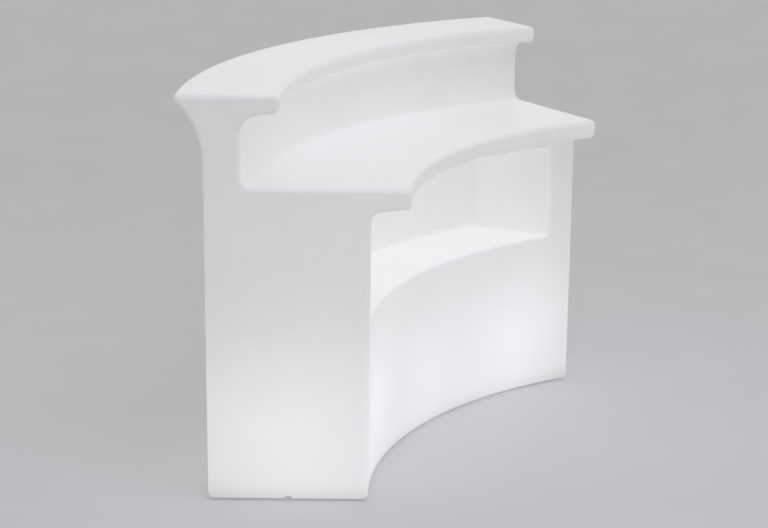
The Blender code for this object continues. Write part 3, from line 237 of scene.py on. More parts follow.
class StageSettings(bpy.types.PropertyGroup):
    """The floor, the soft studio light and the camera."""

    floor: colour("Floor", "Colour of the plain floor", (0.75, 0.75, 0.76))
    background: colour("Background", "Colour that shows where no floor is", (0.99, 0.99, 0.99))
    ambient: share("Ambient light", "Level of the even light from all round", 0.50)
    ambient_tint: colour("Ambient tint", "Colour of the even light", (0.998, 0.952, 0.960))
    softbox: bpy.props.FloatProperty(
        name="Softbox", description="Power of the large lamp over the counter", default=49.0, unit="POWER"
    )
    softbox_tint: colour("Softbox tint", "Colour of the large lamp", (0.850, 0.860, 1.0))
    fill: bpy.props.FloatProperty(
        name="Fill", description="Power of the lamp beside the camera", default=4.0, unit="POWER"
    )
    fill_tint: colour("Fill tint", "Colour of the lamp beside the camera", (1.0, 0.985, 0.975))
    camera: bpy.props.FloatVectorProperty(
        name="Camera", description="Where the camera stands", default=(-5.1415, -2.9033, 2.0219),
        unit="LENGTH", subtype="TRANSLATION",
    )
    aim: bpy.props.FloatVectorProperty(
        name="Aim", description="The point in the middle of the picture", default=(-0.4336, -0.2226, 0.6062),
        unit="LENGTH", subtype="TRANSLATION",
    )
    roll: bpy.props.FloatProperty(
        name="Roll", description="The camera's turn about its view", default=0.0118, unit="ROTATION",
        subtype="ANGLE",
    )
    lens: bpy.props.FloatProperty(
        name="Lens", description="Focal length", default=96.99, unit="CAMERA", subtype="DISTANCE_CAMERA"
    )


# Meshes


def mesh_of(name, build):
    """The mesh that a function fills in bmesh, with its faces out."""
    bm = bmesh.new()
    build(bm)
    bmesh.ops.recalc_face_normals(bm, faces=bm.faces[:])
    mesh = bpy.data.meshes.new(name)
    bm.to_mesh(mesh)
    bm.free()
    return mesh


def add_loft(bm, rings):
    """Skins rings of equal length and closes both ends with a face."""
    loops = [[bm.verts.new(point) for point in ring] for ring in rings]
    for near, far in zip(loops, loops[1:]):
        for i, corner in enumerate(near):
            after = (i + 1) % len(near)
            bm.faces.new((corner, near[after], far[after], far[i]))
    bm.faces.new(loops[0])
    bm.faces.new(loops[-1])


def add_cylinder(bm, centre, low, high, radius, facets):
    middle = Vector((centre[0], centre[1], (low + high) / 2))
    bmesh.ops.create_cone(
        bm, cap_ends=True, segments=facets, radius1=radius, radius2=radius, depth=high - low,
        matrix=Matrix.Translation(middle),
    )


def add_plug(bm, centre, steps, facets):
    """A round plug that changes its radius on its way up. Each step is a radius and a height."""
    turns = [math.tau * k / facets for k in range(facets)]
    add_loft(bm, [
        [(centre.x + radius * math.cos(a), centre.y + radius * math.sin(a), height) for a in turns]
        for radius, height in steps
    ])


def add_box(bm, low, high, place):
    size = [b - a for a, b in zip(low, high)]
    middle = [(a + b) / 2 for a, b in zip(low, high)]
    bmesh.ops.create_cube(bm, size=1, matrix=place @ Matrix.Translation(middle) @ Matrix.Diagonal((*size, 1)))


def arc_steps(radius, turn):
    """How many straight steps an arc needs to stay within the tolerance."""
    step = 2 * math.acos(1 - min(ARC_TOLERANCE / max(radius, SMALLEST_RADIUS / 2), 0.9))
    return max(2, math.ceil(abs(turn) / step))


def meeting_point(a, along_a, b, along_b):
    """Where two lines of the plane cross, each given by a point and a direction."""
    cross = along_a.x * along_b.y - along_a.y * along_b.x
    gap = b - a
    return a + along_a * ((gap.x * along_b.y - gap.y * along_b.x) / cross)


def turn_between(arriving, leaving):
    """The angle from one direction to the next, positive where it turns anticlockwise."""
    return math.atan2(arriving.x * leaving.y - arriving.y * leaving.x, arriving.dot(leaving))


def rounded_outline(corners, inset=0.0, steps=None):
    """The outline with its corners rounded, moved inwards by inset. Corners run anticlockwise.

    A wall that is too short for the fillets at its two ends limits them both.
    """
    places = [Vector(corner[:2]) for corner in corners]
    count = len(places)
    ways = [(places[(i + 1) % count] - places[i]).normalized() for i in range(count)]
    moved = [places[i] + Vector((-ways[i].y, ways[i].x)) * inset for i in range(count)]
    points = [meeting_point(moved[i - 1], ways[i - 1], moved[i], ways[i]) for i in range(count)]
    turns = [turn_between(ways[i - 1], ways[i]) for i in range(count)]
    radii = [max(c[2] - math.copysign(inset, turn), SMALLEST_RADIUS) for c, turn in zip(corners, turns)]
    reaches = [radius * math.tan(abs(turn) / 2) for radius, turn in zip(radii, turns)]
    walls = [(points[(i + 1) % count] - points[i]).length for i in range(count)]
    fits = [min(1.0, walls[i] / (reaches[i] + reaches[(i + 1) % count])) for i in range(count)]
    outline = []
    for i, corner in enumerate(corners):
        fit = min(fits[i - 1], fits[i])
        arriving, side, radius = ways[i - 1], math.copysign(1.0, turns[i]), radii[i] * fit
        tangent = points[i] - arriving * reaches[i] * fit
        centre = tangent + Vector((-arriving.y, arriving.x)) * side * radius
        start = math.atan2(*reversed(tangent - centre))
        for k in range((number := steps or arc_steps(corner[2], turns[i])) + 1):
            angle = start + turns[i] * k / number
            outline.append((centre.x + radius * math.cos(angle), centre.y + radius * math.sin(angle)))
    return outline


# The shell


class Shell:
    """Works out the shell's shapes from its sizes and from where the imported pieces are."""

    def __init__(self, scene):
        self.shell = scene.counter_shell
        self.niche = scene.counter_niche
        self.base = scene.counter_base
        hatch = node_middle("hatch_cover_centre")
        inner_foot = node_middle("foot_pad_inner_centre")
        foot_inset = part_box("foot_pad_inner_centre")[1][0] + self.base.rim + PAD_CLEARANCE
        self.arc_y = inner_foot.y - self.shell.inner_wall_r - foot_inset
        self.unit_r = hatch.y - self.arc_y

    def corners(self):
        """The cross-section's corners, inside to outside: radius, height and fillet radius."""
        s = self.shell
        flare_z = s.deck_z - s.overhang / math.tan(FLARE_ANGLE)
        rise = (flare_z - s.base_z) / (s.deck_z - s.base_z)
        worktop_lip_z = s.worktop_z - s.worktop_lip
        deck_lip_z = s.deck_z - s.deck_lip
        leg_top_z = worktop_lip_z - WORKTOP_UNDERSIDE_SLOPE * (s.inner_wall_r - s.worktop_lip_r)
        riser_top_z = deck_lip_z - DECK_UNDERSIDE_SLOPE * (s.riser_r - s.deck_lip_r)
        return [
            (s.inner_wall_r, s.base_z, BASE_EDGE),
            (s.base_outer_r, s.base_z, BASE_EDGE),
            (s.base_outer_r + (s.wall_top_r - s.base_outer_r) * rise, flare_z, FLARE_BEND),
            (s.wall_top_r + s.overhang, s.deck_z, FLARE_EDGE),
            (s.deck_lip_r, s.deck_z, LIP_EDGE),
            (s.deck_lip_r, deck_lip_z, LIP_EDGE),
            (s.riser_r, riser_top_z, RISER_TOP_FILLET),
            (s.riser_r, s.worktop_z, RISER_FOOT_FILLET),
            (s.worktop_lip_r, s.worktop_z, LIP_EDGE),
            (s.worktop_lip_r, worktop_lip_z, LIP_EDGE),
            (s.inner_wall_r, leg_top_z, LEG_TOP_FILLET),
        ]

    def recess_corners(self, grow=0.0):
        """The corners of the recess under the base, which starts below the floor."""
        s, b = self.shell, self.base
        inner = s.inner_wall_r + b.rim - grow
        outer = s.base_outer_r - b.rim + grow
        top = b.ceiling_z + grow
        low = -b.ceiling_z
        radius = b.fillet + grow
        return [
            (inner, low, SMALLEST_RADIUS),
            (outer, low, SMALLEST_RADIUS),
            (outer, top, radius),
            (inner, top, radius),
        ]

    def on_arc(self, radius, angle, height=0.0):
        return Vector((radius * math.sin(angle), self.arc_y + radius * math.cos(angle), height))

    def ring_near_end(self, outline, side, distance):
        """A ring in the plane that lies this far inside an end face. Side is -1 or 1."""
        half = self.shell.half_angle
        return [self.on_arc(r, side * (half - math.asin(distance / r)), z) for r, z in outline]

    def facet_angles(self, step, end_distance=0.0):
        """The angles of the cross-sections that are clear of a rounded end this deep."""
        end_angle = math.asin(end_distance / self.shell.worktop_lip_r)
        count = int((self.shell.half_angle - end_angle) / step - END_CLEARANCE)
        return [step * k for k in range(-count, count + 1)]

    def sector_rings(
        self, corners, inset=0.0, end_distance=0.0, end_radius=0.0, end_steps=8, steps=None, angle=None
    ):
        """The rings of a body swept round the arcs' centre, its two ends flat with rounded edges."""
        left, right = [], []
        for k in range(end_steps + 1) if end_radius else [end_steps]:
            swing = math.pi / 2 * (1 - k / end_steps)
            distance = end_distance + end_radius * (1 - math.sin(swing))
            outline = rounded_outline(corners, inset + end_radius * (1 - math.cos(swing)), steps)
            left.append(self.ring_near_end(outline, -1, distance))
            right.append(self.ring_near_end(outline, 1, distance))
        outline = rounded_outline(corners, inset, steps)
        angles = self.facet_angles(angle or self.shell.facet_angle, end_distance + end_radius)
        middle = [[self.on_arc(r, a, z) for r, z in outline] for a in angles]
        return left + middle + right[::-1]

    def niche_loop(self, facet_angle, grow, corner_steps):
        """The niche's mouth from the front, anticlockwise, with points where the wall's facets meet."""
        n = self.niche
        half, low, high, radius = n.half_width + grow, n.shelf_z - grow, n.top_z + grow, n.corner + grow
        inner = [self.shell.inner_wall_r * math.sin(angle) for angle in self.facet_angles(facet_angle)]
        inner = [x for x in inner if abs(x) < n.half_width - n.corner - NICHE_CLEARANCE]
        loop = [(x, low) for x in inner]
        lower, upper = low + radius, high - radius
        corners = ((1, lower, -90), (1, upper, 0), (-1, upper, 90), (-1, lower, 180))
        for number, (side, height, start) in enumerate(corners):
            if number == 2:
                loop += [(x, high) for x in reversed(inner)]
            for k in range(corner_steps + 1):
                angle = math.radians(start + 90 * k / corner_steps)
                x = side * (half - radius) + radius * math.cos(angle)
                loop.append((x, height + radius * math.sin(angle)))
        return loop

    def niche_rings(self, loop, grow, lip_steps):
        """The niche as rings from outside its mouth to its back.

        The niche itself has a rounded mouth. The wall round it, which is the niche grown by the wall, has none.
        """
        n = self.niche
        middle_z = (n.shelf_z + n.top_z) / 2
        half_height = (n.top_z - n.shelf_z) / 2
        rings = []

        def ring(widening, depth, radius=self.shell.inner_wall_r):
            across, up = 1 + widening / n.half_width, 1 + widening / half_height
            points = [(x * across, middle_z + (z - middle_z) * up) for x, z in loop]
            rings.append([(x, self.arc_y + math.sqrt(radius**2 - x**2) + depth, z) for x, z in points])

        if grow:
            ring(0.0, -NICHE_WALL_START)
        else:
            flare = [MOUTH_SWEEP * k / lip_steps for k in range(lip_steps, -1, -1)]
            widest = n.mouth * (1 - math.cos(flare[0]))
            ring(widest + n.mouth / 2, -NICHE_START)
            ring(widest + n.mouth / 2, -n.mouth / 2)
            for swing in flare:
                ring(n.mouth * (1 - math.cos(swing)), n.mouth * (1 - math.sin(swing)))
        for k in range(lip_steps + 1):
            swing = math.pi / 2 * k / lip_steps
            depth = -n.back_fillet * (1 - math.sin(swing))
            ring(-n.back_fillet * (1 - math.cos(swing)), depth, n.back_r + grow)
        return rings

    def add_niche(self, bm, facet_angle, grow=0.0, corner_steps=8, lip_steps=6):
        """Skins the niche's rings. Its back is an upright strip between each pair of points."""
        loop = self.niche_loop(facet_angle, grow, corner_steps)
        rings = self.niche_rings(loop, grow, lip_steps)
        loops = [[bm.verts.new(point) for point in ring] for ring in rings]
        count = len(loop)
        for near, far in zip(loops, loops[1:]):
            for i in range(count):
                after = (i + 1) % count
                bm.faces.new((near[i], near[after], far[after], far[i]))
        corner = corner_steps + 1
        along = (count - 4 * corner) // 2
        low = [*range(count - corner, count), *range(0, along + corner)]
        high = [*reversed(range(along + corner, 2 * along + 3 * corner))]
        for cap in (loops[0], loops[-1]):
            for (a, b), (c, d) in zip(zip(low, low[1:]), zip(high, high[1:])):
                bm.faces.new((cap[a], cap[b], cap[d], cap[c]))

    def add_notches(self, bm, grow=0.0):
        """The cord's ways out through the rim, one at each end."""
        b = self.base
        half = b.notch_width / 2 + grow
        top = self.shell.base_z + b.notch_height + grow
        for side in (-1, 1):
            turn = Matrix.Rotation(-side * self.shell.half_angle, 4, "Z") @ Matrix.Diagonal((side, 1, 1, 1))
            place = Matrix.Translation((0, self.arc_y, 0)) @ turn
            low = (-b.rim - NOTCH_PAST_RIM, self.unit_r - half, -NOTCH_BELOW_FLOOR)
            add_box(bm, low, (NOTCH_START, self.unit_r + half, top), place)

    def add_bosses(self, bm):
        """The upright bosses that hold the covers' screws and the feet's inserts."""
        wall, low = self.shell.wall, self.base.ceiling_z
        for screw in screws():
            top = low + SCREW_BOSS_DEPTH + wall
            add_cylinder(bm, node_middle(screw), low, top, SCREW_BOSS_R, BOSS_FACETS)
        for insert in each("foot_insert", FEET):
            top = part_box(insert)[1][2] + wall
            add_cylinder(bm, node_middle(insert), low, top, INSERT_R + wall, BOSS_FACETS)

    def add_holes(self, bm):
        """The holes under the lamp units, for the covers' screws and for the feet's inserts."""
        wall, ceiling = self.shell.wall, self.base.ceiling_z
        low = ceiling - wall
        for cover in each("hatch_cover"):
            add_cylinder(bm, node_middle(cover), low, ceiling + 3 * wall, self.base.hatch_r, HATCH_FACETS)
        for screw in screws():
            add_cylinder(bm, node_middle(screw), low, ceiling + SCREW_BOSS_DEPTH, SCREW_HOLE_R, SCREW_FACETS)
        seat, bore = INSERT_FLANGE_R + INSERT_CLEARANCE, INSERT_R + INSERT_CLEARANCE
        seat_z = ceiling + INSERT_FLANGE_DEPTH
        for insert in each("foot_insert", FEET):
            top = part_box(insert)[1][2] + INSERT_CLEARANCE
            steps = ((seat, low), (seat, seat_z), (bore, seat_z), (bore, top))
            add_plug(bm, node_middle(insert), steps, BOSS_FACETS)


def shape(name, build):
    """A new object whose mesh a function fills in bmesh."""
    made = bpy.data.objects.new(name, mesh_of(name, build))
    bpy.context.scene.collection.objects.link(made)
    return made


def loft(name, rings):
    """A new object skinned over rings."""
    return shape(name, lambda bm: add_loft(bm, rings))


def cut(target, tools):
    """Takes each tool's space out of the target, in order, and removes the tools."""
    for tool in tools:
        modifier = target.modifiers.new(tool.name, "BOOLEAN")
        modifier.operation = "DIFFERENCE"
        modifier.solver = "EXACT"
        modifier.object = tool
    graph = bpy.context.evaluated_depsgraph_get()
    shaped = bpy.data.meshes.new_from_object(target.evaluated_get(graph))
    target.modifiers.clear()
    blank = target.data
    target.data = shaped
    shaped.name = blank.name
    bpy.data.meshes.remove(blank)
    for tool in tools:
        bpy.data.meshes.remove(tool.data)


def weld(mesh):
    """Joins the points that the cuts leave a hair apart."""
    bm = bmesh.new()
    bm.from_mesh(mesh)
    bmesh.ops.remove_doubles(bm, verts=bm.verts[:], dist=WELD_DISTANCE)
    bm.to_mesh(mesh)
    bm.free()


# Finishes


class Finish:
    """A new material, with short ways to add and join its nodes."""

    def __init__(self, name):
        self.material = bpy.data.materials.new(name)
        self.material.use_nodes = True
        self.tree = self.material.node_tree
        self.shader = self.tree.nodes["Principled BSDF"]
        self.place = self.node("ShaderNodeTexCoord").outputs["Object"]

    def node(self, kind, **settings):
        made = self.tree.nodes.new(kind)
        for name, value in settings.items():
            setattr(made, name, value)
        return made

    def feed(self, socket, value):
        if isinstance(value, bpy.types.NodeSocket):
            self.tree.links.new(value, socket)
        else:
            socket.default_value = value

    def math(self, operation, *values):
        made = self.node("ShaderNodeMath", operation=operation)
        for socket, value in zip(made.inputs, values):
            self.feed(socket, value)
        return made.outputs[0]

    def vector(self, operation, *values):
        made = self.node("ShaderNodeVectorMath", operation=operation)
        for socket, value in zip(made.inputs, values):
            self.feed(socket, value)
        return made.outputs["Value" if operation in ("DOT_PRODUCT", "LENGTH", "DISTANCE") else "Vector"]

    def noise(self, size, detail=3.0, roughness=0.55, place=None):
        """Noise from 0 to 1 whose features are about this long, in metres."""
        made = self.node("ShaderNodeTexNoise")
        self.feed(made.inputs["Vector"], place or self.place)
        made.inputs["Scale"].default_value = 1 / size
        made.inputs["Detail"].default_value = detail
        made.inputs["Roughness"].default_value = roughness
        return made.outputs["Fac"]

    def spread(self, value, low, high, from_low=0.3, from_high=0.7):
        """The value's middle range stretched to run from low to high."""
        made = self.node("ShaderNodeMapRange", clamp=True)
        for socket, number in zip(made.inputs, (value, from_low, from_high, low, high)):
            self.feed(socket, number)
        return made.outputs["Result"]

    def mix(self, factor, a, b):
        made = self.node("ShaderNodeMix", data_type="RGBA")
        colours = [socket for socket in made.inputs if socket.type == "RGBA"]
        self.feed(made.inputs[0], factor)
        self.feed(colours[0], (*a, 1.0) if isinstance(a, (tuple, list)) else a)
        self.feed(colours[1], (*b, 1.0) if isinstance(b, (tuple, list)) else b)
        return next(socket for socket in made.outputs if socket.type == "RGBA")

    def bump(self, height, distance, under=None):
        """A relief this deep, in metres, from a height of 0 to 1, on top of another."""
        made = self.node("ShaderNodeBump")
        made.inputs["Strength"].default_value = 1.0
        made.inputs["Distance"].default_value = distance
        self.feed(made.inputs["Height"], height)
        if under is not None:
            self.feed(made.inputs["Normal"], under)
        return made.outputs["Normal"]

    def set(self, **values):
        """Sets the shader's sockets by name, with underscores for spaces."""
        for name, value in values.items():
            is_colour = isinstance(value, (tuple, list)) and len(value) == 3
            self.feed(self.shader.inputs[name.replace("_", " ")], (*value, 1.0) if is_colour else value)
        return self.material

    def mottle(self, size, tone, factor):
        """The tone, with patches of this size in which it is multiplied by the factor."""
        patch = self.spread(self.noise(size), 0.0, 1.0)
        return self.mix(patch, tuple(c * factor for c in tone), tone)


def painted_glow_from_lamps(skin, glow, lamps):
    """The glow that is painted on the shell for the light that the lamps throw on the wall behind each point.

    A lamp paints a spot on the wall, brighter by how near it is and how squarely the wall faces it, as real lamps
    in the hollow light it. The hollow's more evenly scattered light is painted as well.
    """
    normal = skin.node("ShaderNodeNewGeometry").outputs["Normal"]
    straight = scattered = 0.0
    for lamp, lamp_level in zip(lamps, glow.levels):
        reach = skin.vector("SUBTRACT", skin.place, tuple(lamp))
        facing = skin.math("MAXIMUM", skin.vector("DOT_PRODUCT", normal, reach), 0.0)
        rise = skin.math("DIVIDE", skin.vector("DOT_PRODUCT", reach, (0, 0, 1)), skin.vector("LENGTH", reach))
        upward = skin.math("MAXIMUM", rise, 0.0)
        sideways = skin.math("MULTIPLY_ADD", upward, -glow.upward_loss * lamp_level, lamp_level)
        square = skin.vector("DOT_PRODUCT", reach, reach)
        spot = skin.math("DIVIDE", facing, skin.math("POWER", skin.math("ADD", square, glow.spread**2), 1.5))
        straight = skin.math("MULTIPLY_ADD", spot, sideways, straight)
        haze = skin.math("DIVIDE", lamp_level, skin.math("ADD", square, glow.cavity_depth**2))
        scattered = skin.math("ADD", haze, scattered)
    spots = skin.math("POWER", straight, glow.contrast)
    level = skin.math("DIVIDE", spots, skin.math("ADD", spots, glow.half_level**glow.contrast))
    lit = skin.math("MULTIPLY", level, glow.lamps)
    return skin.math("ADD", lit, skin.math("MULTIPLY", scattered, glow.cavity))


def painted_glow_polyethylene(glow, lamps, base_z):
    """Satin moulded plastic with a painted glow: emission that stands in for the lamps' light through its wall.

    The painted glow is dimmed near the floor, painted shade for the base's double wall keeping some light back,
    and is a little brighter and darker at random for the wall's uneven thickness. The plastic is mottled, and
    scuffed in streaks near the floor.
    """
    skin = Finish("painted_glow_polyethylene")
    # Painted glow: emission worked out from the lamps' places, standing in for light through the wall
    inside = painted_glow_from_lamps(skin, glow, lamps)
    place = skin.node("ShaderNodeSeparateXYZ")
    skin.feed(place.inputs[0], skin.place)
    height = place.outputs["Z"]
    # Painted shade: the painted glow dims towards the floor, for the base's double wall
    rim = skin.spread(height, 1.0 - glow.base_painted_shade, 1.0, base_z, base_z + glow.rim_height)
    through = skin.math("MULTIPLY", inside, rim)
    # The painted glow is a little brighter and darker at random
    cloud = skin.spread(skin.noise(0.30, detail=2.0), 0.965, 1.035)
    grain = skin.spread(skin.noise(0.018, detail=4.0), 0.985, 1.015)
    strength = skin.math("MULTIPLY", through, skin.math("MULTIPLY", cloud, grain))
    brightness = skin.spread(through, 0.0, 1.0, glow.dim_level, glow.bright_level)

    plastic = tuple(glow.plastic)
    darker, paler, scuffed = (tuple(c * factor for c in plastic) for factor in (0.985, 1.01, 0.62))
    mottled = skin.mix(skin.spread(skin.noise(0.05, detail=5.0), 0.0, 1.0), darker, paler)
    near_floor = skin.spread(height, 1.0, 0.0, base_z, base_z + SCUFF_HEIGHT)
    streaks = skin.node("ShaderNodeMapping")
    skin.feed(streaks.inputs["Vector"], skin.place)
    streaks.inputs["Scale"].default_value = (1.0, 1.0, 6.0)
    marks = skin.noise(0.020, detail=6.0, roughness=0.7, place=streaks.outputs[0])
    rubbed = skin.spread(marks, 0.0, 1.0, from_low=0.56, from_high=0.72)
    scuffs = skin.math("MULTIPLY", rubbed, near_floor)
    satin = skin.spread(skin.noise(0.012, detail=4.0), 0.40, 0.48)

    orange_peel = skin.bump(skin.noise(0.0045, detail=2.0, roughness=0.5), 0.00010)
    waves = skin.bump(skin.noise(0.16, detail=1.0, roughness=0.4), 0.0012, under=orange_peel)
    return skin.set(
        Base_Color=skin.mix(skin.math("MULTIPLY", scuffs, 0.5), mottled, scuffed),
        Roughness=skin.math("ADD", satin, skin.math("MULTIPLY", scuffs, 0.2)),
        Normal=waves,
        # The emission is the painted glow, its colour going from the dim to the bright light with its level
        Emission_Color=skin.mix(brightness, tuple(glow.dim_light), tuple(glow.bright_light)),
        Emission_Strength=strength,
    )


def moulded_plastic(name, tone, roughness):
    """Injection-moulded plastic with a fine spark-eroded texture."""
    skin = Finish(name)
    grain = skin.noise(0.0007, detail=2.0)
    return skin.set(
        Base_Color=skin.mottle(0.02, tone, 0.94),
        Roughness=skin.spread(grain, roughness - 0.06, roughness + 0.08),
        Normal=skin.bump(grain, 0.00004),
    )


def rubber(name, tone):
    """Dull rubber, dusty in patches."""
    skin = Finish(name)
    patches = skin.noise(0.012, detail=5.0, roughness=0.65)
    dust = skin.spread(patches, 0.0, 0.35, from_low=0.45, from_high=0.75)
    return skin.set(
        Base_Color=skin.mix(dust, tone, (0.20, 0.19, 0.18)),
        Roughness=skin.spread(skin.noise(0.003), 0.65, 0.85),
        Normal=skin.bump(skin.noise(0.0009), 0.00005),
    )


def plated_steel(name, tone):
    """Zinc-plated steel with a faint spangle."""
    skin = Finish(name)
    spangle = skin.noise(0.004, detail=4.0, roughness=0.6)
    return skin.set(
        Base_Color=skin.mix(skin.spread(spangle, 0.0, 1.0), tuple(c * 0.86 for c in tone), tone),
        Metallic=1.0,
        Roughness=skin.spread(skin.noise(0.0015), 0.26, 0.42),
        Normal=skin.bump(spangle, 0.00002),
    )


def turned_metal(name, tone, ridge):
    """Turned or pressed metal with fine rings round its axis, this far apart."""
    skin = Finish(name)
    rings = skin.node("ShaderNodeTexWave", bands_direction="Z", wave_profile="SIN")
    skin.feed(rings.inputs["Vector"], skin.place)
    rings.inputs["Scale"].default_value = math.pi / (10 * ridge)
    rings.inputs["Distortion"].default_value = 0.0
    return skin.set(
        Base_Color=skin.mottle(0.006, tone, 0.88),
        Metallic=1.0,
        Roughness=skin.spread(skin.noise(0.002), 0.28, 0.40),
        Normal=skin.bump(rings.outputs["Fac"], ridge * 0.3),
    )


def opal_globe(tone):
    """An opal lamp globe that gives light."""
    skin = Finish("opal_globe")
    return skin.set(
        Base_Color=skin.mottle(0.010, tone, 0.97),
        Roughness=skin.spread(skin.noise(0.004), 0.24, 0.34),
        Emission_Color=tone,
        Emission_Strength=GLOBE_STRENGTH,
    )


def cable_sheath(tone):
    """A pale sheathed lead with a slight drawn sheen."""
    skin = Finish("lead_sheath")
    drawn = skin.noise(0.002, detail=2.0)
    return skin.set(
        Base_Color=skin.mottle(0.03, tone, 0.9),
        Roughness=skin.spread(drawn, 0.42, 0.55),
        Normal=skin.bump(drawn, 0.00003),
    )


def paint(finish, nodes):
    """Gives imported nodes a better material."""
    for name in nodes:
        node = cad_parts[name]
        for slot in node.material_slots:
            slot.material = finish


# Operators


class MouldShell(bpy.types.Operator):
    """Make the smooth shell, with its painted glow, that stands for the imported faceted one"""

    bl_idname = "counter.mould_shell"
    bl_label = "Mould the shell"

    def execute(self, context):
        scene = context.scene
        plan = Shell(scene)
        shell, base = plan.shell, plan.base
        wall = shell.wall
        corners = plan.corners()

        # The outside, and what is cut out of it
        skin = loft("shell", plan.sector_rings(corners, end_radius=shell.end_edge))
        niche = shape("niche", lambda bm: plan.add_niche(bm, shell.facet_angle, corner_steps=8, lip_steps=6))
        recess = loft("recess", plan.sector_rings(
            plan.recess_corners(), end_distance=base.rim, end_radius=base.fillet, end_steps=4, steps=4
        ))
        notches = shape("notches", plan.add_notches)
        holes = shape("holes", plan.add_holes)

        # The hollow, which stays a wall's thickness away from the outside
        coarse = HOLLOW_FACET_ANGLE
        hollow = loft("hollow", plan.sector_rings(
            corners, inset=wall, end_distance=wall, steps=3, angle=coarse
        ))
        niche_wall = shape("niche_wall", lambda bm: plan.add_niche(bm, coarse, wall, corner_steps=3, lip_steps=2))
        recess_wall = loft("recess_wall", plan.sector_rings(
            plan.recess_corners(wall), end_distance=base.rim - wall, end_radius=base.fillet + wall, end_steps=2,
            steps=2, angle=coarse,
        ))
        notch_wall = shape("notch_wall", lambda bm: plan.add_notches(bm, wall))
        bosses = shape("bosses", plan.add_bosses)

        cut(hollow, [niche_wall, recess_wall, notch_wall, bosses])
        cut(skin, [niche, recess, notches, hollow, holes])
        weld(skin.data)
        skin.data.shade_smooth()
        skin.data.set_sharp_from_angle(angle=SHARP_ANGLE)
        even = skin.modifiers.new("Even shading", "WEIGHTED_NORMAL")
        even.keep_sharp = True
        lamps = [node_middle(globe) for globe in each("lamp_globe")]
        skin.data.materials.clear()
        skin.data.materials.append(painted_glow_polyethylene(scene.counter_glow, lamps, shell.base_z))
        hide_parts("bar_body")
        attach(skin, "counter")
        return {"FINISHED"}


class FinishHatches(bpy.types.Operator):
    """Finish the hatch covers, their seals and their screws"""

    bl_idname = "counter.finish_hatches"
    bl_label = "Finish the hatches"

    def execute(self, context):
        paint(moulded_plastic("hatch_cover_plastic", (0.80, 0.80, 0.78), 0.42), each("hatch_cover"))
        paint(rubber("gasket_rubber", (0.035, 0.035, 0.036)), each("hatch_gasket"))
        paint(plated_steel("screw_steel", (0.58, 0.59, 0.60)), screws())
        return {"FINISHED"}


class FinishLamps(bpy.types.Operator):
    """Finish the lamps and what holds them"""

    bl_idname = "counter.finish_lamps"
    bl_label = "Finish the lamps"

    def execute(self, context):
        paint(plated_steel("bracket_steel", (0.60, 0.61, 0.62)), each("lamp_bracket"))
        paint(moulded_plastic("lampholder_plastic", (0.82, 0.82, 0.80), 0.30), each("lampholder"))
        paint(turned_metal("lamp_cap_metal", (0.75, 0.76, 0.77), 0.0035), each("lamp_cap"))
        paint(moulded_plastic("lamp_collar_plastic", (0.84, 0.84, 0.82), 0.36), each("lamp_collar"))
        paint(opal_globe((0.95, 0.94, 0.91)), each("lamp_globe"))
        return {"FINISHED"}


class FinishWiring(bpy.types.Operator):
    """Finish the junction box, the leads, the cord gland and the blanking plugs"""

    bl_idname = "counter.finish_wiring"
    bl_label = "Finish the wiring"

    def execute(self, context):
        grey = moulded_plastic("fitting_plastic", (0.32, 0.33, 0.34), 0.48)
        paint(grey, ["junction_box", "junction_box_lid", "gland_body", "gland_cap_nut"])
        paint(grey, ["blanking_plug_centre", "blanking_plug_right"])
        paint(moulded_plastic("terminal_plastic", (0.78, 0.78, 0.75), 0.35), ["terminal_block"])
        paint(rubber("seal_rubber", (0.05, 0.05, 0.05)), ["gland_seal"])
        paint(cable_sheath((0.74, 0.74, 0.72)), each("lead"))
        return {"FINISHED"}


class FinishFeet(bpy.types.Operator):
    """Finish the levelling feet and their inserts"""

    bl_idname = "counter.finish_feet"
    bl_label = "Finish the feet"

    def execute(self, context):
        paint(rubber("foot_rubber", (0.030, 0.030, 0.031)), each("foot_pad", FEET))
        paint(turned_metal("stud_steel", (0.56, 0.57, 0.58), 0.0015), each("foot_stud", FEET))
        paint(turned_metal("insert_brass", (0.72, 0.53, 0.25), 0.0012), each("foot_insert", FEET))
        return {"FINISHED"}


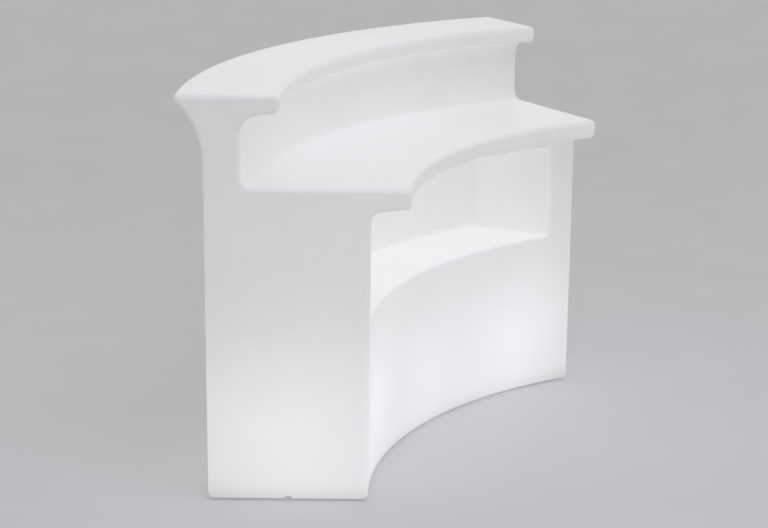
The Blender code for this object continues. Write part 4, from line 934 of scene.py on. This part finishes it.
class BuildStage(bpy.types.Operator):
    """Lay the floor, hang the soft lamps and set up the camera"""

    bl_idname = "counter.build_stage"
    bl_label = "Build the stage"

    def execute(self, context):
        scene = context.scene
        stage = scene.counter_stage
        self.lay_floor(stage)
        self.set_world(scene, stage)
        self.hang_lamp(scene, "softbox", SOFTBOX_PLACE, SOFTBOX_WIDTH, stage.softbox, stage.softbox_tint)
        self.hang_lamp(scene, "fill", FILL_PLACE, FILL_WIDTH, stage.fill, stage.fill_tint)
        self.place_camera(scene, stage)
        scene.view_settings.view_transform = "Standard"
        return {"FINISHED"}

    def lay_floor(self, stage):
        """A large plain floor with a slightly uneven tone."""

        def sheet(bm):
            bmesh.ops.create_grid(bm, x_segments=2, y_segments=2, size=FLOOR_HALF_WIDTH)

        floor = shape("floor", sheet)
        surface = Finish("floor_paint")
        tone = tuple(stage.floor)
        patch = surface.spread(surface.noise(0.9, detail=4.0), 0.0, 1.0)
        surface.set(
            Base_Color=surface.mix(patch, tuple(c * 0.975 for c in tone), tone),
            Roughness=surface.spread(surface.noise(0.25), 0.50, 0.60),
            Normal=surface.bump(surface.noise(0.004, detail=2.0), 0.0001),
        )
        floor.data.materials.append(surface.material)

    def set_world(self, scene, stage):
        """Even light from all round, with a plain background where a view or a reflection meets it."""
        world = bpy.data.worlds.new("studio")
        scene.world = world
        world.use_nodes = True
        tree = world.node_tree
        tree.nodes.clear()
        light = tree.nodes.new("ShaderNodeBackground")
        light.inputs["Color"].default_value = (*stage.ambient_tint, 1.0)
        light.inputs["Strength"].default_value = stage.ambient
        backdrop = tree.nodes.new("ShaderNodeBackground")
        backdrop.inputs["Color"].default_value = (*stage.background, 1.0)
        ray = tree.nodes.new("ShaderNodeLightPath")
        seen = ray.outputs["Is Camera Ray"]
        for kind in ("Is Glossy Ray", "Is Transmission Ray"):
            either = tree.nodes.new("ShaderNodeMath")
            either.operation = "MAXIMUM"
            tree.links.new(seen, either.inputs[0])
            tree.links.new(ray.outputs[kind], either.inputs[1])
            seen = either.outputs[0]
        chosen = tree.nodes.new("ShaderNodeMixShader")
        for socket, source in zip(chosen.inputs, (seen, light.outputs[0], backdrop.outputs[0])):
            tree.links.new(source, socket)
        output = tree.nodes.new("ShaderNodeOutputWorld")
        tree.links.new(chosen.outputs[0], output.inputs["Surface"])

    def hang_lamp(self, scene, name, place, width, power, tint):
        """A square softbox that points at the counter."""
        lamp = bpy.data.lights.new(name, "AREA")
        lamp.size = width
        lamp.energy = power
        lamp.color = tint
        hung = bpy.data.objects.new(name, lamp)
        hung.location = place
        hung.rotation_euler = (Vector(LAMP_TARGET) - Vector(place)).to_track_quat("-Z", "Y").to_euler()
        scene.collection.objects.link(hung)

    def place_camera(self, scene, stage):
        """The camera at the photograph's viewing angle."""
        view = bpy.data.cameras.new("camera")
        view.sensor_width = SENSOR_WIDTH
        view.lens = stage.lens
        view.clip_end = CAMERA_REACH
        camera = bpy.data.objects.new("camera", view)
        forward = (Vector(stage.aim) - Vector(stage.camera)).normalized()
        level = forward.cross(Vector((0, 0, 1))).normalized()
        upright = level.cross(forward)
        right = level * math.cos(stage.roll) + upright * math.sin(stage.roll)
        up = right.cross(forward)
        turn = Matrix((right, up, -forward)).transposed()
        camera.matrix_world = Matrix.Translation(stage.camera) @ turn.to_4x4()
        scene.collection.objects.link(camera)
        scene.camera = camera


class CounterPanel(bpy.types.Panel):
    """The counter's steps and settings"""

    bl_idname = "VIEW3D_PT_counter"
    bl_label = "Illuminated bar counter"
    bl_space_type = "VIEW_3D"
    bl_region_type = "UI"
    bl_category = "Counter"

    def draw(self, context):
        for step in STEPS:
            self.layout.operator(step.bl_idname)
        for name, kind in SETTINGS.items():
            box = self.layout.box()
            group = getattr(context.scene, name)
            for key in kind.__annotations__:
                box.prop(group, key)


STEPS = (BuildStage, MouldShell, FinishHatches, FinishLamps, FinishWiring, FinishFeet)
SETTINGS = {
    "counter_shell": ShellSizes,
    "counter_niche": NicheSizes,
    "counter_base": BaseSizes,
    "counter_glow": GlowSettings,
    "counter_stage": StageSettings,
}


def register():
    for kind in (*SETTINGS.values(), *STEPS, CounterPanel):
        bpy.utils.register_class(kind)
    for name, kind in SETTINGS.items():
        setattr(bpy.types.Scene, name, bpy.props.PointerProperty(type=kind))


def unregister():
    for name in SETTINGS:
        delattr(bpy.types.Scene, name)
    for kind in reversed((*SETTINGS.values(), *STEPS, CounterPanel)):
        bpy.utils.unregister_class(kind)


def main():
    register()
    bpy.ops.counter.build_stage()
    bpy.ops.counter.mould_shell()
    bpy.ops.counter.finish_hatches()
    bpy.ops.counter.finish_lamps()
    bpy.ops.counter.finish_wiring()
    bpy.ops.counter.finish_feet()


if __name__ == "__main__":
    main()
